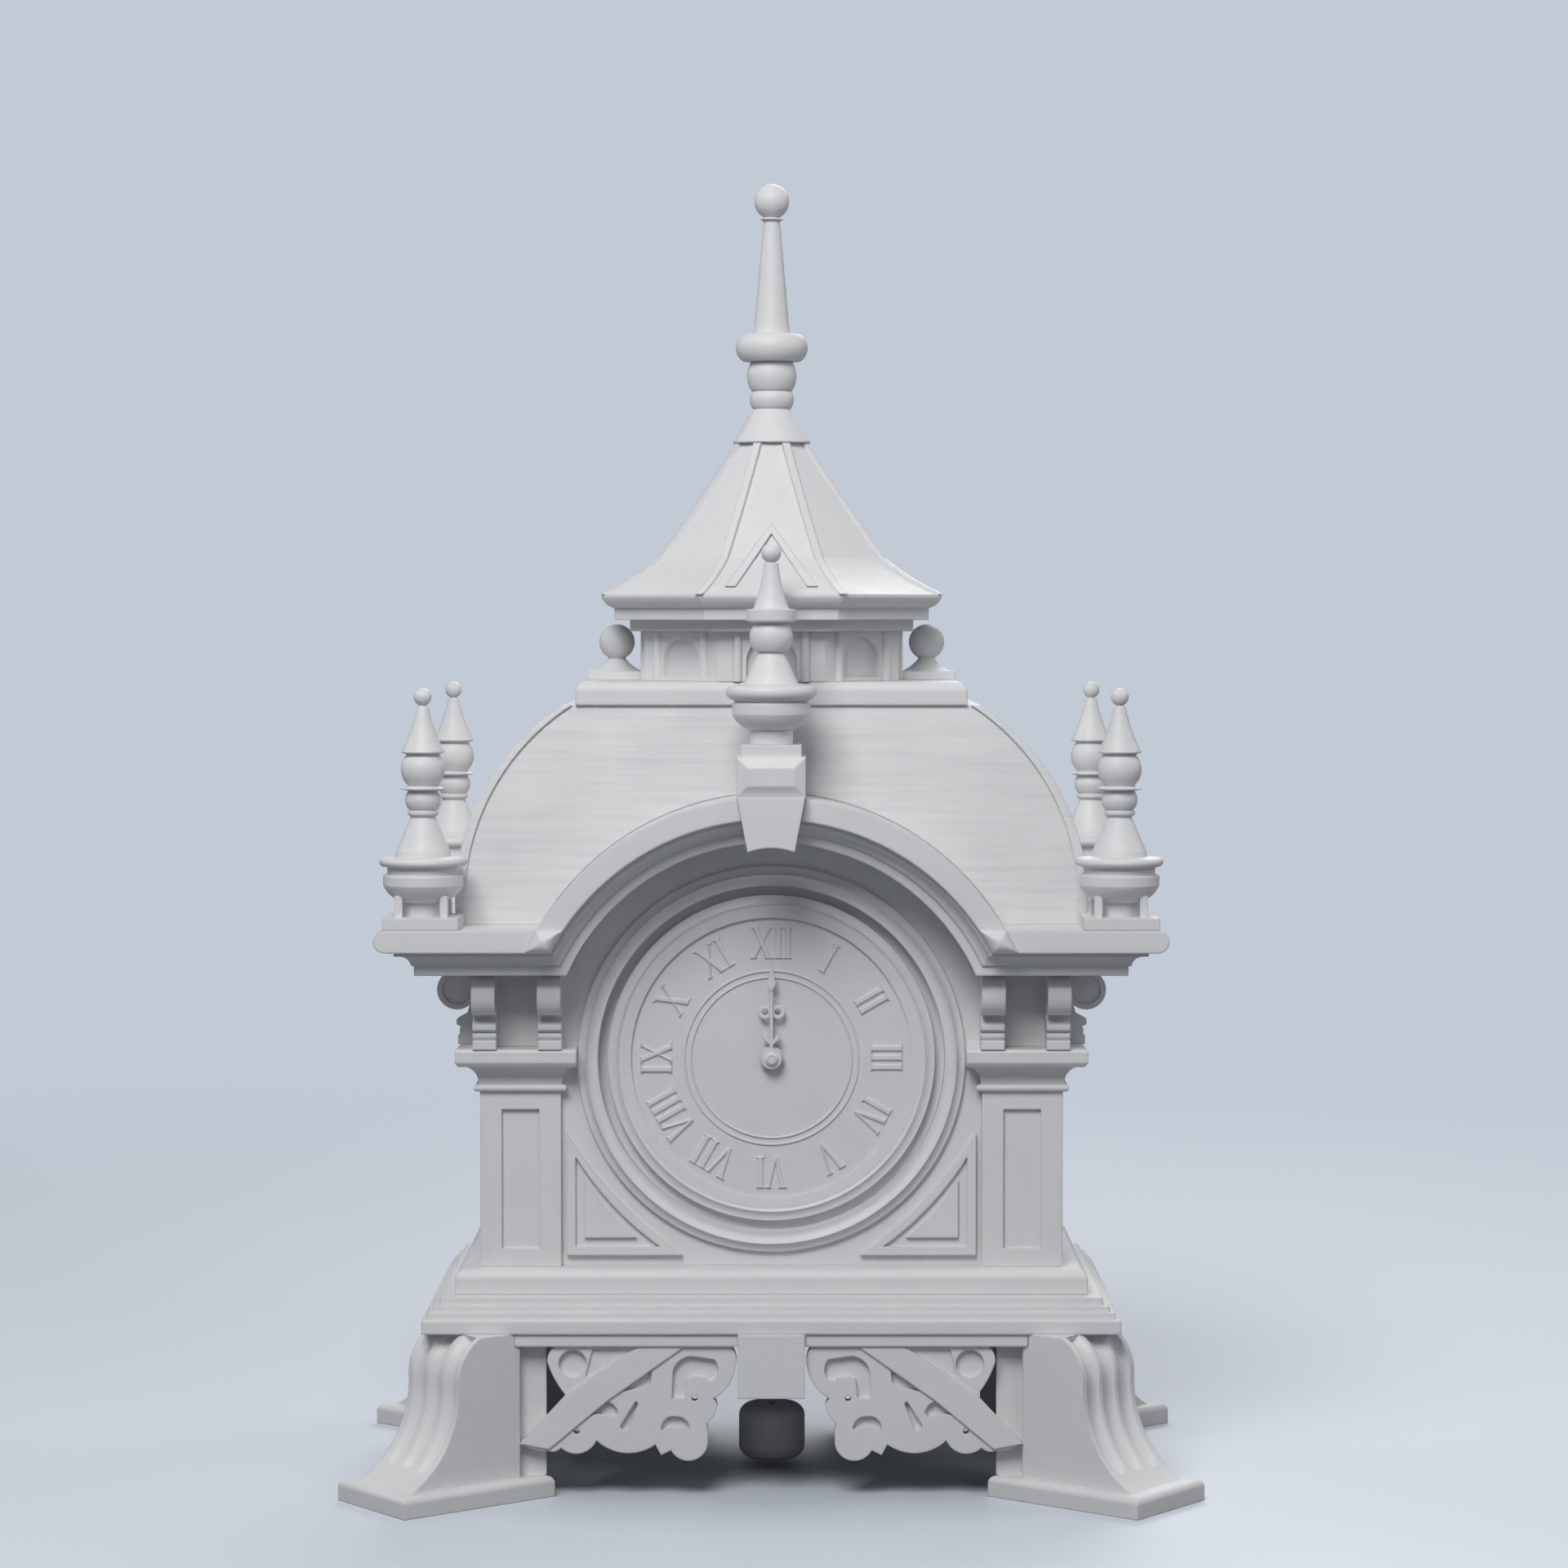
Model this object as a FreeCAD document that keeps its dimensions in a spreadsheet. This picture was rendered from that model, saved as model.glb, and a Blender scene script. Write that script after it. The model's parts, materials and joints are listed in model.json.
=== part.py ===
import FreeCAD, Part
import math
import os
import Sketcher

# Steeple clock. X runs to the right seen from the front, Y to the back, Z up.
# The origin is on the floor under the middle of the case.

# Driving dimensions in millimetres
SIZES = {
    # heights of the storeys, from the floor up
    "leg_height": 63.0,
    "base_height": 13.0,
    "plinth_height": 9.6,
    "pilaster_height": 67.5,
    "capital_height": 16.8,
    "frieze_height": 29.5,
    "cornice_height": 17.8,
    "dome_height": 83.5,
    "platform_height": 8.9,
    "belfry_height": 19.2,
    "eave_height": 14.2,
    "roof_height": 59.4,
    "spire_height": 101.4,
    # legs, in the leg's own direction
    "leg_offset_x": 123.2,
    "leg_offset_y": 71.9,
    "leg_width": 34.4,
    "leg_toe": 27.5,
    "leg_waist": 5.8,
    "leg_waist_height": 46.0,
    "leg_shoulder": 4.0,
    "leg_inner": 22.0,
    "foot_length": 68.3,
    "foot_width": 45.4,
    "foot_height": 8.0,
    "foot_round": 2.6,
    "flute_radius": 4.6,
    "flute_pitch": 10.4,
    "flute_standoff": 1.9,
    "leg_strip_inner": 85.6,
    "leg_strip_outer": 104.0,
    "leg_strip_thick": 4.0,
    # rails, drop blocks and fretwork under the base
    "rail_height": 4.8,
    "rail_width": 7.5,
    "rail_setback": 1.0,
    "rail_half_length": 104.5,
    "side_rail_half_length": 58.0,
    "block_half_width": 12.7,
    "block_height": 24.2,
    "block_depth": 25.4,
    "block_proud": 1.5,
    "fret_outer": 95.5,
    "fret_drop": 46.5,
    "fret_thick": 5.5,
    "fret_front_setback": 2.5,
    "side_fret_half_length": 50.8,
    "fret_pocket_depth": 2.4,
    "fret_web_depth": 1.0,
    "fret_bar_proud": 0.8,
    "fret_gap": 0.3,
    # base moulding and plinth board
    "base_half_width": 132.5,
    "base_half_depth": 74.5,
    "base_step": 6.5,
    "plinth_half_width": 120.7,
    "plinth_half_depth": 61.8,
    "plinth_round": 4.0,
    "slot_half_width": 14.0,
    "slot_half_depth": 4.0,
    # walls of the case
    "wall_thick": 6.0,
    "wall_set_back": 3.1,
    "wall_half_depth": 50.5,
    "frieze_past": 2.2,
    "pilaster_width": 31.0,
    "pilaster_depth": 24.0,
    "pilaster_gap": 6.3,
    "pilaster_proud": 3.0,
    "pilaster_panel_width": 14.3,
    "pilaster_panel_margin": 7.0,
    "pilaster_panel_depth": 1.6,
    "capital_projection": 9.0,
    "dial_ring_seat": 5.5,
    "dial_opening": 66.4,
    "dial_ring_outer": 74.2,
    "dial_ring_proud": 4.0,
    "spandrel_gap": 2.1,
    "spandrel_inner": 34.0,
    "spandrel_rise": 4.2,
    "spandrel_top": 50.9,
    "spandrel_proud": 2.2,
    "spandrel_border": 3.4,
    "spandrel_sunk": 1.4,
    # scroll brackets
    "bracket_width": 9.0,
    "bracket_reach": 20.5,
    "bracket_eye": 5.6,
    "bracket_eye_depth": 0.9,
    "bracket_outer_set": 2.35,
    "bracket_inner_set": 3.75,
    "bracket_side_place": 36.0,
    # cornice and its arch
    "cornice_half_width": 134.5,
    "cornice_half_depth": 77.0,
    "cornice_projection": 14.9,
    "cornice_opening_width": 100.0,
    "cornice_opening_depth": 42.0,
    "arch_reveal": 10.1,
    "arch_clearance": 0.1,
    "keystone_bottom_half": 8.8,
    "keystone_top_half": 12.7,
    "keystone_drop": 2.7,
    "keystone_height": 20.4,
    "keystone_proud": 1.5,
    "keystone_depth": 25.8,
    "keystone_curve": 1.6,
    "block_top_half": 12.9,
    "block_top_height": 15.0,
    "block_cap_inset": 1.5,
    "block_cap_height": 4.4,
    "block_facet": 2.2,
    # dome
    "dome_half_width": 119.9,
    "dome_top_half_width": 79.9,
    "dome_half_depth": 57.8,
    "dome_top_half_depth": 50.5,
    "dome_wall": 4.0,
    "dome_rim_width": 3.7,
    "dome_rim_proud": 1.0,
    # platform, belfry and roof
    "platform_half_width": 74.8,
    "platform_half_depth": 52.0,
    "platform_round": 3.7,
    "belfry_apothem": 49.5,
    "belfry_arch_half": 9.5,
    "belfry_arch_sill": 1.6,
    "belfry_arch_spring": 8.0,
    "belfry_arch_depth": 2.5,
    "belfry_column_place": 13.0,
    "belfry_column_radius": 1.7,
    "eave_step": 55.0,
    "eave_step_height": 4.4,
    "eave_fascia": 60.9,
    "eave_fascia_height": 4.5,
    "eave_edge": 65.7,
    "eave_lip": 1.2,
    "roof_kink": 43.4,
    "roof_kink_height": 13.9,
    "roof_top": 12.7,
    "rib_width": 3.1,
    "rib_proud": 1.0,
    "gablet_half_width": 15.6,
    "gablet_foot": 17.2,
    "gablet_apex": 41.7,
    "gablet_band": 4.1,
    "gablet_proud": 1.3,
    # finials
    "corner_finial_x": 131.2,
    "corner_finial_y": 73.2,
    "corner_pad_half": 14.2,
    "corner_pad_height": 4.6,
    "corner_column": 7.2,
    "corner_column_height": 5.2,
    "corner_post": 3.0,
    "corner_post_place": 8.5,
    "corner_finial_radius": 16.9,
    "corner_finial_height": 80.7,
    "front_finial_y": 79.6,
    "front_finial_radius": 17.6,
    "front_finial_height": 75.4,
    "ball_finial_x": 60.9,
    "ball_plate_half": 11.0,
    "ball_plate_height": 3.5,
    "ball_finial_radius": 9.6,
    "ball_finial_height": 18.3,
    "spire_radius": 15.2,
    # dial and hands
    "dial_plate_radius": 72.0,
    "dial_plate_thick": 1.5,
    "dial_face_radius": 62.7,
    "dial_face_thick": 2.5,
    "dial_hole": 4.0,
    "dial_foot_x": 36.0,
    "dial_foot_z": 40.0,
    "dial_foot_radius": 2.0,
    "bezel_inner": 53.9,
    "bezel_proud": 2.5,
    "hand_thick": 0.7,
    "hand_hub": 4.7,
    "hour_hand_length": 25.0,
    "minute_hand_length": 36.5,
    "hand_half_width": 3.4,
    "nut_radius": 2.6,
    "nut_height": 1.5,
    # movement plates
    "plate_left": 54.0,
    "plate_right": 40.0,
    "plate_below": 57.3,
    "plate_above": 63.5,
    "plate_thick": 2.0,
    "plate_round": 6.0,
    "plate_gap": 20.0,
    "dial_gap": 7.0,
    "pillar_radius": 2.6,
    "pillar_left": 48.5,
    "pillar_right": 35.0,
    "pillar_low": 52.0,
    "pillar_high": 50.5,
    "pillar_high_left": 42.0,
    # arbors and gears
    "great_module": 0.9,
    "centre_module": 0.7,
    "third_module": 0.6,
    "cannon_module": 0.5,
    "wheel_thick": 1.3,
    "pinion_length": 3.0,
    "arbor_radius": 1.0,
    "centre_arbor_radius": 1.6,
    "pivot_radius": 0.6,
    "running_clearance": 0.05,
    "end_shake": 0.2,
    "great_layer": 12.5,
    "centre_layer": 16.0,
    "third_layer": 9.0,
    "escape_layer": 4.0,
    "wheel_rim": 2.6,
    "wheel_hub": 4.2,
    "spoke_half": 1.0,
    "escape_tip": 17.0,
    "escape_tooth": 2.2,
    "barrel_radius": 21.0,
    "barrel_wall": 1.0,
    "barrel_depth": 10.0,
    "barrel_hub": 4.0,
    "spring_thick": 0.5,
    "spring_inset": 1.2,
    "spring_gap": 0.15,
    "winding_radius": 2.0,
    "winding_pivot": 1.5,
    "winding_length": 20.5,
    "winding_square": 3.2,
    "winding_square_length": 13.0,
    "ratchet_tip": 9.0,
    "ratchet_tooth": 1.5,
    "ratchet_thick": 1.6,
    "ratchet_gap": 0.6,
    "click_place": 17.0,
    "click_hub": 2.6,
    "click_stud": 1.0,
    "click_width": 2.4,
    "click_gap": 0.35,
    # motion work
    "centre_front_radius": 1.2,
    "cannon_radius": 2.4,
    "cannon_leaf_length": 2.0,
    "cannon_end": 15.2,
    "hour_tube_radius": 3.4,
    "hour_tube_end": 13.6,
    "motion_start": 0.6,
    "motion_stud_length": 5.9,
    "hour_wheel_start": 3.9,
    "motion_stud": 1.0,
    # anchor, cock and pendulum
    "anchor_rise": 22.5,
    "anchor_thick": 2.2,
    "anchor_hub": 2.2,
    "pallet_gap": 1.2,
    "pallet_reach": 11.6,
    "pallet_width": 2.4,
    "crutch_thick": 1.0,
    "crutch_width": 3.0,
    "crutch_length": 36.0,
    "crutch_gap": 0.8,
    "fork_gap": 0.35,
    "fork_thick": 1.0,
    "fork_reach": 7.2,
    "cock_half_width": 16.0,
    "cock_foot_width": 5.0,
    "cock_half_height": 6.0,
    "cock_rise": 3.5,
    "cock_bridge": 1.6,
    "cock_pin": 1.0,
    "cock_pin_length": 2.0,
    "cock_pin_head": 1.8,
    "cock_head_thick": 0.8,
    "rod_radius": 1.0,
    "rod_eye": 3.0,
    "rod_eye_thick": 1.6,
    "rod_strap": 9.0,
    "rod_end": 3.2,
    "bob_radius": 13.0,
    "bob_bottom": 3.0,
    "bob_height": 21.0,
    "rating_recess": 4.5,
    "rating_recess_height": 4.2,
    "rating_radius": 3.6,
    "rating_height": 3.3,
    # key
    "key_start": 4.0,
    "key_stem_radius": 3.4,
    "key_stem_length": 12.0,
    "key_wing_length": 13.0,
    "key_wing_half": 14.0,
    "key_wing_thick": 2.0,
    "key_hole": 3.2,
    # rear door
    "door_opening_half": 60.0,
    "door_opening_sill": 6.4,
    "door_opening_height": 98.0,
    "door_overlap": 4.5,
    "door_thick": 4.0,
    "door_gap": 0.2,
    "door_panel_margin": 14.0,
    "door_panel_depth": 1.2,
    "hinge_axis_x": 67.4,
    "hinge_axis_y": 2.9,
    "hinge_radius": 2.3,
    "hinge_pin": 1.0,
    "hinge_pin_head": 1.6,
    "hinge_knuckle": 6.0,
    "hinge_gap": 0.3,
    "hinge_leaf_length": 7.0,
    "hinge_leaf_thick": 1.4,
    "hinge_low": 16.0,
    "hinge_high": 92.0,
    "latch_x": 54.0,
    "latch_shaft": 1.5,
    "latch_knob": 4.2,
    "latch_knob_height": 5.0,
    "latch_bar_half": 3.0,
    "latch_bar_length": 13.0,
    "latch_bar_thick": 1.8,
    "latch_bar_gap": 0.3,
    # overrun of every cut
    "overrun": 30.0,
}

# Directions in degrees
LEG_TURN = 38.4
THIRD_DIRECTION = 129.4
BARREL_DIRECTION = 233.13
MOTION_DIRECTION = -36.87
CLICK_DIRECTION = 150.0
HIP_DIRECTIONS = (22.5, 67.5, 112.5, 157.5)

# Teeth of the train and of the motion work
GREAT_TEETH = 64
CENTRE_LEAVES = 8
CENTRE_TEETH = 66
THIRD_LEAVES = 6
THIRD_TEETH = 66
ESCAPE_LEAVES = 6
ESCAPE_TEETH = 33
CANNON_LEAVES = 12
MOTION_TEETH = 36
MOTION_LEAVES = 10
HOUR_TEETH = 40
RATCHET_TEETH = 20
SPRING_TURNS = 5
SPOKES = 4

# Tooth form, in modules and as shares of the pitch
WHEEL_ADDENDUM_SHARE = 0.85
WHEEL_DEDENDUM_SHARE = 1.2
WHEEL_ROOT_SHARE = 0.27
WHEEL_TIP_SHARE = 0.10
LEAF_ADDENDUM_SHARE = 0.6
LEAF_DEDENDUM_SHARE = 1.3
LEAF_ROOT_SHARE = 0.14
LEAF_TIP_SHARE = 0.12

OCTAGON_SHARE = math.tan(math.pi / 8)
QUARTER_TURN_SHARE = math.tan(math.pi / 8)
HALF_TURN_SHARE = 0.97


class Dim:
    """A size that knows both its number and the formula of sheet cells behind it."""

    def __init__(self, value, text):
        self.value = value
        self.text = text

    def __add__(self, other):
        other = dim(other)
        return Dim(self.value + other.value, f"({self.text} + {other.text})")

    def __sub__(self, other):
        other = dim(other)
        return Dim(self.value - other.value, f"({self.text} - {other.text})")

    def __mul__(self, other):
        other = dim(other)
        return Dim(self.value * other.value, f"({self.text} * {other.text})")

    def __truediv__(self, other):
        other = dim(other)
        return Dim(self.value / other.value, f"({self.text} / {other.text})")

    def __radd__(self, other):
        return dim(other) + self

    def __rsub__(self, other):
        return dim(other) - self

    def __rmul__(self, other):
        return dim(other) * self

    def __neg__(self):
        return Dim(-self.value, f"(0 - {self.text})")


def dim(size):
    """Any number or Dim as a Dim."""
    if isinstance(size, Dim):
        return size
    return Dim(float(size), f"({size:.10g})")


def root(size):
    """Square root of a Dim."""
    return Dim(math.sqrt(size.value), f"sqrt({size.text})")


class SizeSheet:
    """The document's sheet of driving dimensions; an attribute gives the Dim of that cell."""

    def __init__(self, doc, sizes):
        self._sizes = sizes
        sheet = doc.addObject("Spreadsheet::Sheet", "Sizes")
        for row, (name, size) in enumerate(sizes.items(), start=1):
            sheet.set(f"A{row}", name)
            sheet.set(f"B{row}", f"{size:g}")
            sheet.setAlias(f"B{row}", name)
        doc.recompute()

    def __getattr__(self, name):
        return Dim(self._sizes[name], f"Sizes.{name}")


doc = FreeCAD.newDocument("SteepleClock")
S = SizeSheet(doc, SIZES)
nodes = []


def bind(item, name, size):
    """Let a property follow the sheet."""
    item.setExpression(name, dim(size).text)


def move(item, x=0, y=0, z=0):
    """Place an object by formulas of the sheet."""
    for axis, size in zip("xyz", (x, y, z)):
        bind(item, "Placement.Base." + axis, size)
    return item


def turn(item, axis, degrees):
    """Turn an object about an axis through its own origin."""
    item.Placement = FreeCAD.Placement(FreeCAD.Vector(), FreeCAD.Rotation(FreeCAD.Vector(*axis), degrees))
    return item


def node(item, label):
    """Register a finished sub-part."""
    item.Label = label
    nodes.append(item)
    return item


# Outlines: a list of corners (x, y) or (x, y, bulge). The bulge bends the edge that starts
# at the corner: it is the arc's height over half its chord, positive for a left turn.


def draw(sketch, corners):
    """Draw one closed outline in a sketch, every corner tied to its formulas."""
    first = sketch.GeometryCount
    corners = [(dim(c[0]), dim(c[1]), dim(c[2] if len(c) > 2 else 0)) for c in corners]
    points = [FreeCAD.Vector(x.value, y.value, 0) for x, y, bulge in corners]
    edges = []
    for index, (x, y, bulge) in enumerate(corners):
        here = points[index]
        there = points[(index + 1) % len(points)]
        if bulge.value:
            right = (there - here).cross(FreeCAD.Vector(0, 0, 1))
            edges.append(Part.Arc(here, (here + there) / 2 + right * (bulge.value / 2), there))
        else:
            edges.append(Part.LineSegment(here, there))
    sketch.addGeometry(edges)
    rules = []
    formulas = []
    for index, (x, y, bulge) in enumerate(corners):
        following = (index + 1) % len(corners)
        start = 2 if bulge.value < 0 else 1
        following_start = 2 if corners[following][2].value < 0 else 1
        rules.append(Sketcher.Constraint("Coincident", first + index, 3 - start, first + following, following_start))
        for size, kind, axis in ((x, "DistanceX", -2), (y, "DistanceY", -1)):
            if abs(size.value) < 1e-9:
                rules.append(Sketcher.Constraint("PointOnObject", first + index, start, axis))
            else:
                formulas.append((len(rules), size))
                rules.append(Sketcher.Constraint(kind, -1, 1, first + index, start, size.value))
        if bulge.value:
            next_x, next_y, _ = corners[following]
            chord = root((next_x - x) * (next_x - x) + (next_y - y) * (next_y - y))
            height = bulge if bulge.value > 0 else -bulge
            radius = chord * (1 + height * height) / (4 * height)
            formulas.append((len(rules), radius))
            rules.append(Sketcher.Constraint("Radius", first + index, radius.value))
    offset = sketch.ConstraintCount
    sketch.addConstraint(rules)
    for index, size in formulas:
        bind(sketch, f"Constraints[{offset + index}]", size)


def draw_circle(sketch, x, y, radius):
    """Draw a circle in a sketch, tied to its formulas."""
    x = dim(x)
    y = dim(y)
    index = sketch.GeometryCount
    sketch.addGeometry(Part.Circle(FreeCAD.Vector(x.value, y.value, 0), FreeCAD.Vector(0, 0, 1), radius.value))
    for size, kind, axis in ((x, "DistanceX", -2), (y, "DistanceY", -1)):
        if abs(size.value) < 1e-9:
            sketch.addConstraint(Sketcher.Constraint("PointOnObject", index, 3, axis))
        else:
            rule = sketch.addConstraint(Sketcher.Constraint(kind, -1, 1, index, 3, size.value))
            bind(sketch, f"Constraints[{rule}]", size)
    rule = sketch.addConstraint(Sketcher.Constraint("Radius", index, radius.value))
    bind(sketch, f"Constraints[{rule}]", radius)


def draw_all(sketch, shapes):
    """Draw outlines and circles; a circle is given as ("circle", x, y, radius)."""
    for shape in shapes:
        if shape[0] == "circle":
            draw_circle(sketch, *shape[1:])
        else:
            draw(sketch, shape)


def circle(x, y, radius):
    return ("circle", x, y, radius)


def rectangle(x0, y0, x1, y1):
    return [(x0, y0), (x1, y0), (x1, y1), (x0, y1)]


def mirrored(profile):
    """Close a right-hand profile, given from the bottom up, with its mirror image about x = 0."""
    profile = [(dim(c[0]), dim(c[1]), dim(c[2] if len(c) > 2 else 0)) for c in profile]
    corners = [(x, y, bulge) for x, y, bulge in profile[:-1]] + [(profile[-1][0], profile[-1][1], dim(0))]
    for index in range(len(profile) - 1, -1, -1):
        bulge = profile[index - 1][2] if index else dim(0)
        corners.append((-profile[index][0], profile[index][1], bulge))
    return corners


def flip(corners):
    """The mirror image of an outline about x = 0."""
    return [(-dim(c[0]),) + tuple(c[1:2]) + ((-dim(c[2]),) if len(c) > 2 else ()) for c in corners]


class Body:
    """A PartDesign body. Planes are plan (XY), front (XZ) and side (YZ); all places run along +X, +Y, +Z."""

    ROLES = {"plan": "XY_Plane", "front": "XZ_Plane", "side": "YZ_Plane"}

    def __init__(self, name):
        self.item = doc.addObject("PartDesign::Body", name)

    def sketch(self, plane, shapes, level=0, across=0, up=0):
        """A sketch on an origin plane, moved by level along the plane's own direction."""
        sketch = self.item.newObject("Sketcher::SketchObject", "Outline")
        origin_plane = [f for f in self.item.Origin.OriginFeatures if f.Role == self.ROLES[plane]][0]
        sketch.AttachmentSupport = [(origin_plane, "")]
        sketch.MapMode = "FlatFace"
        draw_all(sketch, shapes)
        bind(sketch, "AttachmentOffset.Base.x", across)
        bind(sketch, "AttachmentOffset.Base.y", up)
        bind(sketch, "AttachmentOffset.Base.z", -dim(level) if plane == "front" else level)
        return sketch

    def feature(self, kind, sketch):
        feature = self.item.newObject("PartDesign::" + kind, kind)
        feature.Profile = sketch
        sketch.Visibility = False
        return feature

    def pad(self, plane, shapes, start, end, taper=0):
        """Add material between two levels."""
        feature = self.feature("Pad", self.sketch(plane, shapes, start))
        feature.Reversed = plane == "front"
        feature.TaperAngle = taper
        bind(feature, "Length", dim(end) - start)
        return feature

    def pad_back(self, plane, shapes, start, end, taper):
        """Add material from the end level towards the start level, drawn in by a taper."""
        feature = self.feature("Pad", self.sketch(plane, shapes, end))
        feature.Reversed = plane != "front"
        feature.TaperAngle = taper
        bind(feature, "Length", dim(end) - start)
        return feature

    def pocket(self, plane, shapes, start, end):
        """Take material away between two levels."""
        level = start if plane == "front" else end
        feature = self.feature("Pocket", self.sketch(plane, shapes, level))
        bind(feature, "Length", dim(end) - start)
        return feature

    def revolve(self, shapes, kind="Revolution", upright=True, across=0, up=0):
        """Turn an outline about the upright axis, or about the level axis from front to back."""
        sketch = self.sketch("front" if upright else "side", shapes, 0, across, up)
        feature = self.feature(kind, sketch)
        feature.ReferenceAxis = (sketch, ["V_Axis" if upright else "H_Axis"])
        feature.Angle = 360
        return feature


def prism(name, plane, shapes, start, end):
    """An extruded outline outside any body."""
    sketch = doc.addObject("Sketcher::SketchObject", name + "_outline")
    turns = {"plan": FreeCAD.Rotation(), "front": FreeCAD.Rotation(FreeCAD.Vector(1, 0, 0), 90),
             "side": FreeCAD.Rotation(FreeCAD.Vector(1, 1, 1), 120)}
    sketch.Placement = FreeCAD.Placement(FreeCAD.Vector(), turns[plane])
    draw_all(sketch, shapes)
    bind(sketch, "Placement.Base." + {"plan": "z", "front": "y", "side": "x"}[plane], start)
    item = doc.addObject("Part::Extrusion", name)
    item.Base = sketch
    item.DirMode = "Normal"
    item.Solid = True
    item.Reversed = plane == "front"
    bind(item, "LengthFwd", dim(end) - start)
    return item


def box(name, x0, x1, y0, y1, z0, z1):
    """A box between named places."""
    item = doc.addObject("Part::Box", name)
    bind(item, "Length", dim(x1) - x0)
    bind(item, "Width", dim(y1) - y0)
    bind(item, "Height", dim(z1) - z0)
    return move(item, x0, y0, z0)


def cut(name, base, tool):
    item = doc.addObject("Part::Cut", name)
    item.Base = base
    item.Tool = tool
    return item


def fuse(name, pieces):
    item = doc.addObject("Part::MultiFuse", name)
    item.Shapes = pieces
    return item


def common(name, pieces):
    item = doc.addObject("Part::MultiCommon", name)
    item.Shapes = pieces
    return item


def group(name, pieces):
    item = doc.addObject("Part::Compound", name)
    item.Links = pieces
    return item


def mirror(name, source, normal):
    item = doc.addObject("Part::Mirroring", name)
    item.Source = source
    item.Normal = FreeCAD.Vector(*normal)
    return item


def copies(name, source, places):
    """A group of equal solids; a place is (x, y, z, degrees about Z)."""
    links = []
    for x, y, z, degrees in places:
        link = doc.addObject("App::Link", name + "_copy")
        link.LinkedObject = source
        link.LinkTransform = False
        turn(link, (0, 0, 1), degrees)
        links.append(move(link, x, y, z))
    return group(name, links)


def mitred(name, profile, half_width, half_depth):
    """A rectangular moulding with mitred corners: a profile of (projection, z, bulge) on all four sides."""
    wide = mirrored([(half_width + c[0],) + tuple(c[1:]) for c in profile])
    deep = mirrored([(half_depth + c[0],) + tuple(c[1:]) for c in profile])
    along_y = prism(name + "_wide", "front", [wide], -half_depth - S.overrun, half_depth + S.overrun)
    along_x = prism(name + "_deep", "side", [deep], -half_width - S.overrun, half_width + S.overrun)
    return common(name, [along_y, along_x])


def octagonal(name, profile):
    """An eight-sided moulding: a profile of (apothem, z, bulge) turned to the four directions and intersected."""
    reach = S.eave_edge + S.overrun
    prisms = []
    for degrees in (0, 45, 90, 135):
        side = prism(name + "_side", "front", [mirrored(profile)], -reach, reach)
        prisms.append(turn(side, (0, 0, 1), degrees))
    return common(name, prisms)


def scaled(shares, width, height, bottom=0):
    """Corners from shares of a width and a height."""
    return [(width * c[0], bottom + height * c[1]) + tuple(c[2:]) for c in shares]


# Levels of the storeys
z_base = S.leg_height
z_plinth = z_base + S.base_height
z_case = z_plinth + S.plinth_height
z_capital = z_case + S.pilaster_height
z_frieze = z_capital + S.capital_height
z_cornice = z_frieze + S.frieze_height
z_dome = z_cornice + S.cornice_height
z_platform = z_dome + S.dome_height
z_belfry = z_platform + S.platform_height
z_eave = z_belfry + S.belfry_height
z_roof = z_eave + S.eave_height
z_spire = z_roof + S.roof_height
z_rail = z_base - S.rail_height

# Half widths of the case, from the dial outwards
x_pilaster = S.dial_ring_outer + S.pilaster_gap
x_frieze = x_pilaster + S.pilaster_width + S.frieze_past
x_wall = x_pilaster + S.pilaster_width - S.wall_set_back

# Places from front to back, of the case and then of the movement behind the dial
wall_face = S.wall_half_depth
wall_back = S.wall_half_depth - S.wall_thick
y_dial = -wall_back
y_dial_back = y_dial + S.dial_plate_thick
y_front_plate = y_dial_back + S.dial_gap
y_train = y_front_plate + S.plate_thick
y_back_plate = y_train + S.plate_gap
y_rear = y_back_plate + S.plate_thick
z_dial = z_case + S.dial_ring_outer + S.dial_ring_seat
arch_radius = S.dial_ring_outer + S.arch_reveal


# Legs

FLUTE_LOWER_SHARES = (0.3, 0.5, 0.7, 0.88)
FLUTE_UPPER_SHARES = (0.12, 0.4, 0.7, 1.0)


def leg_flutes():
    """Three round-bottomed flutes along the S-shaped face, each closed below by a ball."""
    radius = S.flute_radius.value
    standoff = S.flute_standoff.value
    toe = FreeCAD.Vector(S.leg_toe.value, 0, S.foot_height.value)
    waist = FreeCAD.Vector(S.leg_waist.value, 0, S.leg_waist_height.value)
    shoulder = FreeCAD.Vector(-S.leg_shoulder.value, 0, S.leg_height.value)
    points = []
    for here, there, bulge, shares in ((toe, waist, LEG_LOWER_BULGE_SHARE, FLUTE_LOWER_SHARES),
                                       (waist, shoulder, LEG_UPPER_BULGE_SHARE, FLUTE_UPPER_SHARES)):
        arc = arc_by_bulge(here, there, bulge)
        centre = arc.Curve.Center
        first, last = arc.ParameterRange
        for share in shares:
            point = arc.valueAt(first + share * (last - first))
            outward = (point - centre).normalize()
            points.append(point + outward * math.copysign(standoff, outward.x))
    curve = Part.BSplineCurve()
    curve.interpolate(points)
    path = Part.Wire([curve.toShape()])
    start = Part.Wire([Part.makeCircle(radius, points[0], curve.tangent(curve.FirstParameter)[0])])
    groove = path.makePipeShell([start], True, False).fuse(Part.makeSphere(radius, points[0]))
    shapes = []
    for row in (-1, 0, 1):
        shapes.append(groove.translated(FreeCAD.Vector(0, row * S.flute_pitch.value, 0)))
    return Part.makeCompound(shapes)


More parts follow.
